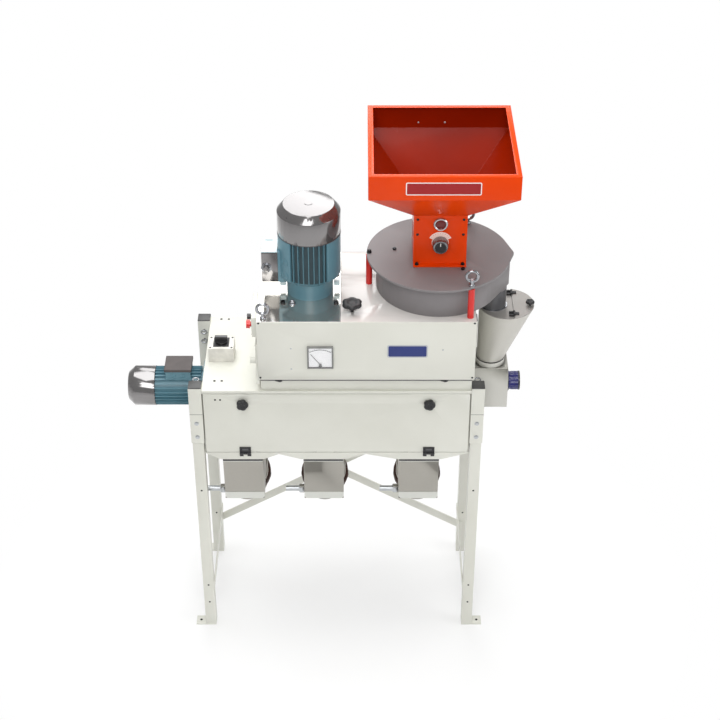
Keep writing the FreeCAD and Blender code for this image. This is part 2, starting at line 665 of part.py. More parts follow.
def beater_pieces():
    """The shaft, three spiders on it, and one flat bar on each row of spider arms."""
    shaft = rod((-1 * casing_x - s.bearing_thick, 0, sieve_z), s.shaft_r,
                2 * casing_x + s.bearing_thick - s.sheet - 1, ALONG_X)
    start, end = sieve_left + s.beater_end, sieve_right - s.beater_end
    inner = s.beater_r - s.beater_thick
    pieces = [shaft]
    for x in (start + s.spider_in, (start + end) / 2, end - s.spider_in - s.spider_thick):
        spider = new_body("spider", (x, 0, sieve_z), ALONG_X)
        hub = sketch_on(spider, "Hub", "XY_Plane")
        circle(hub, (0, 0), s.shaft_r + s.hub_wall)
        pad(spider, hub, s.spider_thick)
        arm = sketch_on(spider, "Arm", "XY_Plane")
        outline(arm, [(s.shaft_r + 1, -1 * s.arm_half), (inner, -1 * s.arm_half),
                      (inner, s.arm_half), (s.shaft_r + 1, s.arm_half)])
        polar(spider, pad(spider, arm, s.spider_thick), s.beater_count)
        bore = sketch_on(spider, "Bore", "XY_Plane", -1)
        circle(bore, (0, 0), s.shaft_r)
        pocket(spider, bore, s.spider_thick + 2, Reversed=True)
        pieces.append(spider)
    count = int(s.beater_count.number)
    half = s.beater_width / 2
    for index in range(count):
        angle = 360 / count * index
        cosine, sine = round(math.cos(math.radians(angle)), 9), round(math.sin(math.radians(angle)), 9)
        bar = block((0, 0, 0), (end - start, s.beater_thick, s.beater_width))
        corner = (start, inner * cosine + half * sine, sieve_z + inner * sine - half * cosine)
        pieces.append(put(bar, corner, FreeCAD.Rotation(FreeCAD.Vector(1, 0, 0), angle)))
    return pieces


def bearing_units():
    """Flange bearings at both ends of the sifter shaft and the cartridge that holds the spindle."""
    ends = []
    for x in (-1 * casing_x + s.sheet, casing_x - s.sheet - s.bearing_thick):
        ends.append(cut(rod((x, 0, sieve_z), s.bearing_r, s.bearing_thick, ALONG_X),
                        rod((x - 1, 0, sieve_z), s.shaft_r + s.pin_fit, s.bearing_thick + 2, ALONG_X)))
    under = body_top - s.plate_thick
    bore = s.spindle_r + s.pin_fit
    high = body_top + s.drum_wall + s.bed_thick - 8
    cartridge = turned("cartridge", [
        (bore, cartridge_low), (s.cartridge_r - 8, cartridge_low), (s.cartridge_r, cartridge_low + 8),
        (s.cartridge_r, under - 14), (s.cartridge_flange, under - 14), (s.cartridge_flange, under),
        (s.cartridge_r, under), (s.cartridge_r, high - 4), (s.cartridge_r - 4, high), (bore, high)],
        (s.mill_x, s.mill_y, 0))
    node("bearing_units", group(*ends, cartridge))


def build_sifter_motor():
    """A small flange motor along X on the casing's left wall."""
    flange_x = -1 * casing_x
    place = (flange_x, 0, sieve_z)
    first = s.sifter_motor_start
    end = first + s.sifter_motor_long
    bore = s.bearing_r - 6
    well = s.bearing_thick + 6
    core = s.sifter_motor_r - s.fin_height / 2
    neck = s.sifter_motor_r - s.sifter_neck_in
    shield = turned("sifter_motor_shield", [
        (bore, 0), (s.sifter_flange_r, 0), (s.sifter_flange_r, s.sifter_flange_thick),
        (neck, s.sifter_flange_thick), (neck, first), (0, first), (0, well), (bore, well)], place,
        AGAINST_X)
    shell = turned("sifter_motor_shell", [(0, first), (core, first), (core, end), (0, end)], place,
                   AGAINST_X)
    fin = sketch_on(shell, "Fin", "XY_Plane", first)
    half = s.fin_thick / 2
    tip = s.sifter_motor_r + s.fin_height
    outline(fin, [(core - 2, -1 * half), (tip, -1 * half), (tip, half), (core - 2, half)])
    polar(shell, pad(shell, fin, s.sifter_motor_long), s.sifter_fins)
    right = flange_x - first - s.sifter_box_in
    left = right - s.sifter_box_long
    near, far = s.sifter_box_y - s.sifter_box_half, s.sifter_box_y + s.sifter_box_half
    low = sieve_z + s.sifter_box_low
    high = low + s.sifter_box_tall
    edge = s.sifter_lid_edge
    base = slab((left, near, low), (right, far, high))
    lid = slab((left - edge, near - edge, high), (right + edge, far + edge, high + s.sifter_lid_thick))
    node("sifter_motor_body", group(shield, union(shell, base), lid))
    cowl_start = flange_x - end
    cowl = turned("sifter_cowl", [
        (0, s.sifter_cowl_long - 3), (s.sifter_cowl_r - 24, s.sifter_cowl_long - 3),
        (s.sifter_cowl_r - 3, s.sifter_cowl_long - 25), (s.sifter_cowl_r - 3, 0), (s.sifter_cowl_r, 0),
        (s.sifter_cowl_r, s.sifter_cowl_long - 24), (s.sifter_cowl_r - 22, s.sifter_cowl_long),
        (0, s.sifter_cowl_long)], (cowl_start, 0, sieve_z), AGAINST_X)
    node("sifter_motor_cowl", cowl)


def spout_box(x):
    """One spout of sheets: leaning front, kicked lip, floor, sides, back, and a round collar below."""
    half, wall = s.spout_width / 2, s.sheet
    room = half - wall
    top, lip_front, near = spout_top_front, spout_low_front - s.lip_kick, spout_low_front + s.lip_floor
    floor_back = spout_low + s.floor_rise
    rise = (floor_back - lip_low) / (spout_back - near)
    far = s.collar_y + s.collar_r + 1
    fore = s.collar_y - s.collar_r - 1

    def floor_at(y):
        return lip_low + (y - near) * rise

    def sheet_of(name, points, side=None, wide=None):
        lift = x - room if side is None else side
        return plate(name, "YZ_Plane", points, lift, 2 * room if wide is None else wide)

    front = sheet_of("spout_front", [
        (top, tray_low), (spout_low_front, spout_low), (spout_low_front + wall, spout_low),
        (top + wall, tray_low)])
    lip = sheet_of("spout_lip", [
        (spout_low_front, spout_low), (lip_front, lip_low), (lip_front + wall, lip_low + wall),
        (spout_low_front + wall, spout_low)])
    ledge = sheet_of("spout_ledge", [
        (lip_front, lip_low), (near, lip_low), (near, lip_low + wall), (lip_front + wall, lip_low + wall)])
    slope = sheet_of("spout_slope", [
        (near, lip_low), (far, floor_at(far)), (far, floor_at(far) + wall), (near, lip_low + wall)],
        x - s.collar_r - 1, 2 * s.collar_r + 2)
    below, tall = strap_z - 2 * s.collar_r, 4 * s.collar_r
    footprint = union(slab((x - room, near, lip_low - 1), (x + room, spout_back, tray_low)),
                      rod((x, s.collar_y, below), s.collar_r, tall))
    hole = common(rod((x, s.collar_y, below), s.collar_r - wall, tall),
                  slab((x - room, top, lip_low - 1), (x + room, spout_back - wall, tray_low)))
    floor = cut(common(slope, footprint), hole)
    sides = [cut(sheet_of("spout_side", [
        (top, tray_low), (spout_low_front, spout_low), (lip_front, lip_low), (near, lip_low),
        (spout_back, floor_back), (spout_back, tray_low)], side, wall),
        floor) for side in (x - half, x + room)]
    back = cut(slab((x - room, spout_back - wall, floor_at(spout_back)), (x + room, spout_back, tray_low)),
               floor)
    above = sheet_of("spout_above", [
        (fore, floor_at(fore)), (far, floor_at(far)), (far, tray_low + tall), (fore, tray_low + tall)],
        x - s.collar_r - 1, 2 * s.collar_r + 2)
    foot = doc.addObject("Part::Cylinder", "Rod")
    bind(foot, "Radius", 3 * s.collar_r)
    bind(foot, "Height", 4 * s.collar_r)
    drop = s.strap_tall / 2 + s.strap_foot
    put_tilted(foot, (x, s.collar_y, strap_z), -4 * s.collar_r - drop)
    collar = cut(rod((x, s.collar_y, below), s.collar_r, tall),
                 rod((x, s.collar_y, below - 1), s.collar_r - wall, tall + 2), above, foot)
    return [front, lip, ledge, floor, *sides, back, collar]


def put_tilted(thing, place, along):
    """Turn a piece by the strap's tilt about X, and slide it along its own axis from a place."""
    lean = s.strap_tilt.words
    thing.Placement = FreeCAD.Placement(FreeCAD.Vector(0, 0, 0),
                                        FreeCAD.Rotation(FreeCAD.Vector(1, 0, 0), 1))
    thing.setExpression("Placement.Rotation.Angle", f"{lean} * 1 deg")
    x, y, z = place
    bind(thing, "Placement.Base.x", x)
    thing.setExpression("Placement.Base.y", f"{words_of(y)} - ({words_of(along)}) * sin({lean} * 1 deg)")
    thing.setExpression("Placement.Base.z", f"{words_of(z)} + ({words_of(along)}) * cos({lean} * 1 deg)")


def build_spouts():
    """Three spouts, the strap that holds a bag on each collar, and a clamp lever beside each."""
    boxes, straps = [], []
    half = s.spout_width / 2
    knuckle_r, rise = s.lever_r + s.knuckle_more, s.lever_r + s.knuckle_rise
    ear_low = rise + s.knuckle_gap
    for name, x in zip(("left", "middle", "right"), spouts):
        band = doc.addObject("Part::Cylinder", "Band")
        bind(band, "Radius", s.strap_r)
        bind(band, "Height", s.strap_tall)
        put_tilted(band, (x, s.collar_y, strap_z), s.strap_tall / -2)
        core = rod((x, s.collar_y, strap_z - 2 * s.collar_r), s.collar_r, 4 * s.collar_r)
        straps.append(cut(band, core))
        eye_x = x - half - knuckle_r - s.lever_gap
        ears = [slab((eye_x - s.ear_half, s.lever_y - s.ear_half, low),
                     (x - half, s.lever_y + s.ear_half, low + s.ear_thick))
                for low in (lever_z + ear_low, lever_z - ear_low - s.ear_thick)]
        pin = rod((eye_x, s.lever_y, lever_z - ear_low), s.lever_pin, 2 * ear_low)
        boxes += [*spout_box(x), *ears, pin]
        bar = rod((eye_x - s.lever_long, s.lever_y, lever_z), s.lever_r, s.lever_long, ALONG_X)
        knuckle = rod((eye_x, s.lever_y, lever_z - rise), knuckle_r, 2 * rise)
        eye = rod((eye_x, s.lever_y, lever_z - rise - 1), s.lever_pin + s.pin_fit, 2 * rise + 2)
        node(f"clamp_lever_{name}", cut(union(bar, knuckle), eye))
    node("outlet_spouts", group(*boxes))
    node("bag_straps", group(*straps))


def build_mill_body():
    left, right, front, back = body_left, body_right, body_front, body_back
    low, high, wall = body_low, body_top - s.plate_thick, s.body_wall
    shell = slab((left, front, low), (right, back, high))
    room = slab((left + wall, front + wall, low + wall), (right - wall, back - wall, high + 1))
    mouth = slab((left + s.body_frame, front - 1, low + s.body_frame),
                 (right - s.body_frame, front + wall + 1, high - s.body_frame_top))
    cable_box = slab((left - s.cable_box_wide, stop_front, low - s.cable_box_low),
                     (left, stop_front + s.cable_box_deep, low + s.cable_box_deep - s.cable_box_up))
    gland = rod((left - s.cable_box_wide - s.gland_long, stop_front + s.gland_long, low + s.gland_up),
                s.gland_r, s.gland_long, ALONG_X)
    node("mill_body", union(cut(shell, room, mouth), cable_box, gland))
    skirt = slab((skirt_left, skirt_front, casing_top), (skirt_right, skirt_back, low))
    inside = slab((skirt_left + wall, skirt_front + wall, casing_top - 1),
                  (skirt_right - wall, skirt_back - wall, low + 1))
    studs = [rod((x, skirt_front - 1, base_knob_z), s.knob_stem + s.pin_fit, wall + 2, ALONG_Y)
             for x in (s.base_knob_left, s.base_knob_right)]
    node("base_skirt", cut(skirt, inside, *studs))
    for name, x in (("base_knob_left", s.base_knob_left), ("base_knob_right", s.base_knob_right)):
        knob = rod((x, skirt_front - s.knob_long, base_knob_z), s.knob_r - 2, s.knob_long - 0.3, ALONG_Y)
        stud = rod((x, skirt_front - 1, base_knob_z), s.knob_stem, 22, ALONG_Y)
        node(name, union(knob, stud))
    plate = slab((left, front, high), (right, back, body_top))
    holes = [rod((s.motor_x, s.motor_y, high - 1), s.neck_hole, s.plate_thick + 2),
             rod((s.mill_x, s.mill_y, high - 1), s.cartridge_r + 0.2, s.plate_thick + 2),
             rod((tension_x, tension_y, high - 1), s.knob_stem + s.pin_fit, s.plate_thick + 2)]
    node("top_plate", cut(plate, *holes))
    panel = slab((left, panel_front, low), (right, front, body_top))
    half = s.meter_side / 2 - s.window_inset
    hole = half + s.meter_fit
    window = slab((s.meter_x - hole, panel_front - 1, meter_z - hole),
                  (s.meter_x + hole, front + 1, meter_z + hole))
    node("front_panel", cut(panel, window))


def build_meter():
    """A square panel meter with a sunk dial, and its pointer on a pivot."""
    x, z, side = s.meter_x, meter_z, s.meter_side
    front = panel_front - s.meter_proud
    bezel = slab((x - side / 2, front, z - side / 2), (x + side / 2, panel_front, z + side / 2))
    half = side / 2 - s.window_inset
    case = slab((x - half, panel_front, z - half), (x + half, panel_front + s.meter_deep, z + half))
    dial = slab((x - half, front - 1, z - half), (x + half, front + s.dial_deep, z + half))
    node("ammeter", cut(union(bezel, case), dial))
    needle = doc.addObject("Part::Box", "Needle")
    bind(needle, "Length", s.pointer_width)
    bind(needle, "Width", s.pointer_thick)
    bind(needle, "Height", s.pointer_long)
    needle.Placement = FreeCAD.Placement(FreeCAD.Vector(0, 0, 0),
                                         FreeCAD.Rotation(FreeCAD.Vector(0, -1, 0), 1))
    needle.setExpression("Placement.Rotation.Angle", f"{s.pointer_lean.words} * 1 deg")
    for axis, value in zip("xyz", (x, front + 1.5, z - s.pointer_drop)):
        bind(needle, f"Placement.Base.{axis}", value)
    node("ammeter_pointer", union(rod((x, front + 1, z - s.pointer_drop), s.pointer_hub, 2.7, ALONG_Y),
                                  needle))


def furrowed_stone(name, low, thick, eye, face_up):
    """A millstone: a thick ring with straight furrows cut across its grinding face."""
    stone = turned(name, [(eye, 0), (s.stone_r - 3, 0), (s.stone_r, 3), (s.stone_r, thick - 3),
                          (s.stone_r - 3, thick), (eye, thick)], (s.mill_x, s.mill_y, low))
    furrow = sketch_on(stone, "Furrow", "XY_Plane", thick - s.furrow_deep if face_up else 0)
    offset = eye * 0.5
    outline(furrow, [(eye - 8, offset - s.furrow_wide), (s.stone_r + 10, offset - s.furrow_wide),
                     (s.stone_r + 10, offset), (eye - 8, offset)])
    polar(stone, pocket(stone, furrow, s.furrow_deep, Reversed=True), s.furrow_count)
    return stone


def build_stones():
    bed_low = body_top + s.drum_wall
    runner_low = bed_low + s.bed_thick + s.stone_gap
    node("bed_stone", furrowed_stone("bed_stone", bed_low, s.bed_thick, s.bed_eye, True))
    runner = furrowed_stone("runner_stone", runner_low, s.runner_thick, s.runner_eye, False)
    sweeper = sketch_on(runner, "Sweeper", "XY_Plane", 8)
    outline(sweeper, [(s.stone_r - 12, -8), (s.stone_r + s.sweeper, -8), (s.stone_r + s.sweeper, 8),
                      (s.stone_r - 12, 8)])
    polar(runner, pad(runner, sweeper, s.runner_thick - 16), 2)
    slot = sketch_on(runner, "Slot", "XY_Plane")
    half = s.rynd_width / 2 + s.rynd_fit
    reach = s.rynd_reach + s.rynd_fit
    outline(slot, [(-1 * reach, -1 * half), (reach, -1 * half), (reach, half), (-1 * reach, half)])
    pocket(runner, slot, s.rynd_up + s.rynd_tall + s.rynd_fit, Reversed=True)
    node("runner_stone", runner)
    arm_low = runner_low + s.rynd_up
    shaft = rod((s.mill_x, s.mill_y, spindle_low), s.spindle_r, arm_low + s.rynd_tall - spindle_low)
    arm = block((s.mill_x - s.rynd_reach, s.mill_y - s.rynd_width / 2, arm_low),
                (2 * s.rynd_reach, s.rynd_width, s.rynd_tall))
    node("spindle", union(shaft, arm))


def build_drum():
    low, top, wall = body_top, drum_top, s.drum_wall
    drum = new_body("drum", (s.mill_x, s.mill_y, low))
    nose_y = 0
    outer = nosed_circle(sketch_on(drum, "Outside", "XY_Plane"), s.drum_r, s.drum_nose - s.nose_r,
                         nose_y, s.nose_r)
    pad(drum, outer, top - low)
    inner = nosed_circle(sketch_on(drum, "Inside", "XY_Plane", wall), s.drum_r - wall,
                         s.drum_nose - s.nose_r, nose_y, s.nose_r - wall)
    pocket(drum, inner, top - low, Reversed=True)
    offset = pipe_x - s.mill_x
    pipe = sketch_on(drum, "Pipe", "XY_Plane")
    circle(pipe, (offset, 0), s.pipe_r)
    pad(drum, pipe, low - pipe_low, Reversed=True)
    bore = sketch_on(drum, "PipeBore", "XY_Plane", wall + 1)
    circle(bore, (offset, 0), s.pipe_r - s.pipe_wall)
    pocket(drum, bore, low - pipe_low + wall + 3)
    eye = sketch_on(drum, "Eye", "XY_Plane", wall + 1)
    circle(eye, (0, 0), s.cartridge_r + 0.2)
    pocket(drum, eye, wall + 2)
    node("drum", drum)
    lid = new_body("drum_lid", (s.mill_x, s.mill_y, top))
    cover = nosed_circle(sketch_on(lid, "Outline", "XY_Plane"), s.lid_r, s.lid_nose - s.lid_nose_r,
                         nose_y, s.lid_nose_r)
    pad(lid, cover, s.lid_thick)
    throat = sketch_on(lid, "Throat", "XY_Plane", s.lid_thick + 1)
    circle(throat, (0, 0), s.throat_r)
    pocket(lid, throat, s.lid_thick + 2)
    node("drum_lid", lid)
    posts = []
    for place in lid_post_places():
        posts.append(rod((*place, low), s.lid_post_r, top - low))
    node("lid_posts", group(*posts))


def lid_post_places():
    """Three posts round the drum: one on the left, one at the front right and one at the rear right."""
    reach = s.drum_r + s.lid_post_r + s.lid_post_gap
    rear_reach = s.drum_r + s.lid_post_r + s.rear_post_gap
    return [(s.mill_x - reach, s.mill_y),
            (s.mill_x + reach * turn_cosine(s.lid_post_angle),
             s.mill_y - reach * turn_sine(s.lid_post_angle)),
            (s.mill_x + rear_reach * turn_cosine(s.rear_post_angle),
             s.mill_y + rear_reach * turn_sine(s.rear_post_angle))]


def turn_cosine(angle):
    return Size(math.cos(math.radians(angle.number)), f"cos({angle.words} * 1 deg)")


def turn_sine(angle):
    return Size(math.sin(math.radians(angle.number)), f"sin({angle.words} * 1 deg)")


def pulley(name, radius, bore, place):
    """A two-groove V-belt pulley."""
    half = s.belt_pitch + 4
    groove = s.belt_deep * 4 / 3
    points = [(bore, -1 * half), (radius, -1 * half)]
    mouth = s.belt_top / 2 + s.belt_fit
    floor = mouth - s.belt_slope * 4 / 3
    for middle in (s.belt_pitch / -2, s.belt_pitch / 2):
        points += [(radius, middle - mouth), (radius - groove, middle - floor),
                   (radius - groove, middle + floor), (radius, middle + mouth)]
    points += [(radius, half), (bore, half)]
    return turned(name, points, place)


def build_drive():
    centre_z = pulley_z
    node("mill_pulley", pulley("mill_pulley", s.mill_pulley_r, s.spindle_r + s.pin_fit,
                               (s.mill_x, s.mill_y, centre_z)))
    node("motor_pulley", pulley("motor_pulley", s.motor_pulley_r, s.motor_shaft_r + s.pin_fit,
                                (s.motor_x, s.motor_y, centre_z)))
    belts = []
    for middle in (s.belt_pitch / -2, s.belt_pitch / 2):
        belt = new_body("belt", (s.mill_x, s.mill_y, centre_z + middle))
        route = sketch_on(belt, "Route", "XY_Plane")
        nosed_circle(route, s.mill_pulley_r, s.motor_x - s.mill_x, s.motor_y - s.mill_y, s.motor_pulley_r)
        section = sketch_on(belt, "Section", "XZ_Plane")
        wide, narrow = s.belt_top / 2, s.belt_top / 2 - s.belt_slope
        outer, inner = s.mill_pulley_r, s.mill_pulley_r - s.belt_deep
        outline(section, [(inner, -1 * narrow), (outer, -1 * wide), (outer, wide), (inner, narrow)])
        doc.recompute()
        sweep = belt.newObject("PartDesign::AdditivePipe", "Belt")
        sweep.Profile = section
        sweep.Spine = (route, [f"Edge{index}" for index in range(1, 5)])
        belts.append(belt)
    node("drive_belts", group(*belts))


def build_motor():
    place = (s.motor_x, s.motor_y, 0)
    under = body_top - s.plate_thick
    bore = s.motor_shaft_r + s.pin_fit
    foot = under - s.motor_flange_thick
    neck = turned("motor_neck", [
        (bore, foot), (s.neck_r, foot), (s.neck_r, fin_low - 22), (s.neck_r + 12, fin_low - 8),
        (s.motor_r, fin_low), (bore, fin_low)], place)
    square = s.motor_flange / 2
    flange = cut(slab((s.motor_x - square, s.motor_y - square, foot),
                      (s.motor_x + square, s.motor_y + square, under)),
                 rod((s.motor_x, s.motor_y, foot - 1), s.neck_r, s.motor_flange_thick + 2))
    shell = turned("motor_shell", [(bore, fin_low), (s.motor_r, fin_low), (s.motor_r, fin_top),
                                   (bore, fin_top)], place)
    fin = sketch_on(shell, "Fin", "XY_Plane", fin_low)
    half = s.fin_thick / 2
    outline(fin, [(s.motor_r - 2, -1 * half), (s.motor_fin_r, -1 * half), (s.motor_fin_r, half),
                  (s.motor_r - 2, half)])
    polar(shell, pad(shell, fin, fin_top - fin_low), s.motor_fins)
    base = slab((terminal_right, s.motor_y - s.terminal_half, terminal_low),
                (s.motor_x - 70, s.motor_y + s.terminal_half, terminal_high))
    node("motor_housing", group(flange, neck, cut(union(shell, base), neck)))
    box = slab((terminal_left, s.motor_y - s.terminal_half, terminal_low),
               (terminal_right, s.motor_y + s.terminal_half, terminal_high))
    gland = rod((terminal_left + 18, s.motor_y - s.terminal_half - 16, terminal_low + 62), 12, 16, ALONG_Y)
    node("motor_terminal_box", union(box, gland))
    wall = s.cowl_wall
    node("motor_cowl", turned("motor_cowl", [
        (s.cowl_r - wall, fin_top), (s.cowl_r, fin_top), (s.cowl_r, cowl_shoulder),
        (s.cowl_flat_r, cowl_top), (0, cowl_top), (0, cowl_top - wall),
        (s.cowl_flat_r - 2, cowl_top - wall), (s.cowl_r - wall, cowl_shoulder - 2)], place))
    shaft = new_body("motor_shaft", place)
    shaft_low = pulley_z - s.belt_pitch - 10
    revolve(shaft, outline(sketch_on(shaft, "Profile", "XZ_Plane"), [
        (0, shaft_low), (s.motor_shaft_r, shaft_low), (s.motor_shaft_r, fan_z),
        (s.motor_shaft_r + 12, fan_z),
        (s.motor_shaft_r + 12, fan_z + s.fan_tall), (0, fan_z + s.fan_tall)]))
    blade = sketch_on(shaft, "Blade", "XY_Plane", fan_z)
    outline(blade, [(s.motor_shaft_r + 8, -1.5), (s.fan_r, -1.5), (s.fan_r, 1.5),
                    (s.motor_shaft_r + 8, 1.5)])
    polar(shaft, pad(shaft, blade, s.fan_tall), s.fan_blades)
    node("motor_shaft", shaft)


def build_feed():
    x, y = s.mill_x, s.mill_y
    half, wall = s.box_side / 2, s.box_wall
    low, top = drum_top + s.lid_thick, box_top
    foot = slab((x - half, y - s.box_front - s.box_foot, low),
                (x + half, y + s.box_back + s.box_foot, low + s.foot_plate))
    box = slab((x - half, y - s.box_front, low), (x + half, y + s.box_back, top))
    room = slab((x - half + wall, y - s.box_front + wall, low + s.foot_plate),
                (x + half - wall, y + s.box_back - wall, top + 1))
    throat = rod((x, y, low - 1), s.throat_r, s.foot_plate + 2)
    window = rod((x, y - s.box_front - 1, sight_z), s.sight_glass_r, wall + 2, ALONG_Y)
    bush = rod((x, y - s.box_front - 1, feed_knob_z), s.feed_shaft_r + s.pin_fit,
               s.box_front + s.box_back + 2, ALONG_Y)
    guides = [slab((x - half + 1, y - s.box_front + 1, feed_knob_z - 2),
                   (x - s.flap_half - s.flap_gap, y + s.box_back - 1, feed_knob_z + 2)),
              slab((x + s.flap_half + s.flap_gap, y - s.box_front + 1, feed_knob_z - 2),
                   (x + half - 1, y + s.box_back - 1, feed_knob_z + 2))]
    node("feed_box", cut(union(foot, cut(box, room), *guides), throat, window, bush))
    bezel = cut(rod((x, y - s.box_front - s.sight_proud, sight_z), s.sight_r, s.sight_proud, ALONG_Y),
                rod((x, y - s.box_front - s.sight_proud - 1, sight_z), s.sight_glass_r,
                    s.sight_proud - 2, ALONG_Y))
    node("sight_glass", bezel)
    knob_y = y - s.box_front - s.feed_knob_long - 4
    knob = union(rod((x, knob_y, feed_knob_z), s.feed_knob_r, s.feed_knob_long, ALONG_Y),
                 rod((x, knob_y + s.feed_knob_long, feed_knob_z), s.feed_knob_r - 6, 3.5, ALONG_Y))
    node("feed_knob", knob)
    shaft = rod((x, y - s.box_front - 0.5, feed_knob_z), s.feed_shaft_r, s.box_front + s.box_back + 1,
                ALONG_Y)
    blade = slab((x - s.flap_half, y - s.box_front + wall + s.flap_gap, feed_knob_z - s.flap_thick / 2),
                 (x + s.flap_half, y + s.box_back - wall - s.flap_gap, feed_knob_z + s.flap_thick / 2))
    node("feed_flap", union(shaft, blade))
    build_hopper(x, y, half)


def build_hopper(x, y, half):
    """A deep folded rim above a four-sided funnel that stands on the feed box."""
    low, wall, fold = box_top, s.hopper_wall, s.hopper_fold
    rim_low = hopper_top - s.hopper_rim
    floor = rim_low + s.hopper_floor
    wide, deep = s.hopper_x / 2, s.hopper_y / 2

    def funnel(inset, tall):
        """A four-sided funnel stood upright: its own Y becomes Z, and its own Z becomes -Y."""
        thing = doc.addObject("Part::Wedge", "Funnel")
        bind(thing, "Ymin", 0)
        bind(thing, "Ymax", tall)
        for path, value in (("Xmin", inset - half), ("Xmax", half - inset), ("Zmin", inset - s.box_back),
                            ("Zmax", s.box_front - inset), ("X2min", inset - wide), ("X2max", wide - inset),
                            ("Z2min", inset - deep), ("Z2max", deep - inset)):
            bind(thing, path, value)
        return put(thing, (x, y, low), FreeCAD.Rotation(FreeCAD.Vector(1, 0, 0), 90))

    outside = union(funnel(wall * 0, rim_low - low),
                    slab((x - wide, y - deep, rim_low), (x + wide, y + deep, hopper_top)))
    room = slab((x - wide + wall, y - deep + wall, floor),
                (x + wide - wall, y + deep - wall, hopper_top - wall))
    mouth = slab((x - wide + fold, y - deep + fold, floor),
                 (x + wide - fold, y + deep - fold, hopper_top + 1))
    node("hopper", cut(outside, funnel(wall, floor - low), room, mouth))


def star_knob(name, place, radius, thick, stud_radius, stud_long):
    """A lobed hand knob on its stud."""
    body = new_body(name, place)
    profile = sketch_on(body, "Boss", "XY_Plane")
    circle(profile, (0, 0), radius * s.star_boss)
    pad(body, profile, thick)
    lobe = sketch_on(body, "Lobe", "XY_Plane")
    circle(lobe, (radius * s.star_boss, 0), radius - radius * s.star_boss)
    lobes = pad(body, lobe, thick * s.star_lobe_tall)
    polar(body, lobes, s.star_lobes)
    stud = sketch_on(body, "Stud", "XY_Plane", 1)
    circle(stud, (0, 0), stud_radius)
    pad(body, stud, stud_long + 1, Reversed=True)
    return body


def leaning_cone(top_radius, low_radius):
    """A cone about a leaning axis, whose left and right edges run through the two rounds' edges."""
    tall = funnel_top - funnel_low
    left = ((funnel_x - top_radius) - (funnel_low_x - low_radius)) / tall
    right = ((funnel_x + top_radius) - (funnel_low_x + low_radius)) / tall
    apex = 2 * low_radius / (right - left)
    apex_x = funnel_low_x - low_radius - left * apex
    steep, shallow = math.atan(right.number), math.atan(left.number)
    lean = Size(math.degrees(steep + shallow) / 2, f"(atan({right.words}) + atan({left.words})) / 2")
    spread = Size(math.degrees(steep - shallow) / 2, f"(atan({right.words}) - atan({left.words})) / 2")
    length = (tall + apex) * 1.3
    end = Size(length.number * math.tan(math.radians(spread.number)),
               f"{length.words} * tan({spread.words})")
    thing = cone((apex_x, s.mill_y, funnel_low - apex), 0, end, length,
                 FreeCAD.Rotation(FreeCAD.Vector(0, 1, 0), 1))
    thing.setExpression("Placement.Rotation.Angle", lean.words)
    return thing


def build_funnel():
    """The meal funnel: a leaning cone under the drum's nose with a half lid and a hinged hatch."""
    x, y = funnel_x, s.mill_y
    wall, top, low = s.funnel_wall, funnel_top, funnel_low
    wide = 2 * s.funnel_r
    cone_wall = cut(leaning_cone(s.funnel_r, s.funnel_low_r),
                    leaning_cone(s.funnel_r - wall, s.funnel_low_r - wall),
                    slab((x - 2 * wide, y - wide, top), (x + wide, y + wide, top + 2 * wide)),
                    slab((x - 2 * wide, y - wide, low - 3 * wide), (x + wide, y + wide, low)))
    disc = rod((x, y, top - s.hatch_thick), s.funnel_r - wall / 2, s.hatch_thick)
    hatch_edge = slab((hatch_x - s.hatch_gap, y - 2 * s.funnel_r, top - 20),
                      (hatch_x + 2 * s.funnel_r, y + 2 * s.funnel_r, top + 20))
    pipe_hole = rod((pipe_x, y, top - 20), s.pipe_r + 0.2, 40)
    flap = cut(rod((x, y, top + 0.3), s.funnel_r, s.hatch_thick),
               slab((x - 2 * s.funnel_r, y - 2 * s.funnel_r, top - 20),
                    (hatch_x, y + 2 * s.funnel_r, top + 20)))
    knuckles, ears = [], []
    axis_z, barrel = top + s.hatch_axis_up, s.hatch_barrel
    for sign in (-1, 1):
        middle = y + s.hatch_hinge * sign
        knuckles += [rod((hatch_x, middle - 6, axis_z), barrel, 12, ALONG_Y),
                     slab((hatch_x, middle - 6, top + s.hatch_thick), (hatch_x + 18, middle + 6, axis_z)),
                     rod((hatch_x, middle - 13, axis_z), s.hinge_pin, 26, ALONG_Y)]
        bore = rod((hatch_x, middle - 14, axis_z), s.hinge_pin + s.pin_fit, 28, ALONG_Y)
        for start in (middle - 13, middle + 6.3):
            ears.append(cut(union(rod((hatch_x, start, axis_z), barrel, 6.7, ALONG_Y),
                                  slab((hatch_x - 18, start, top - 1),
                                       (hatch_x - s.hatch_gap, start + 6.7, axis_z))),
                            bore))
    node("meal_funnel", union(cone_wall, cut(disc, hatch_edge, pipe_hole), *ears))
    node("hatch_flap", union(flap, *knuckles))
    node("hatch_knob", star_knob("hatch_knob", (hatch_knob_x, hatch_knob_y, top + s.hatch_thick + 8),
                                 s.small_star_r, 12, 4, 7.7))


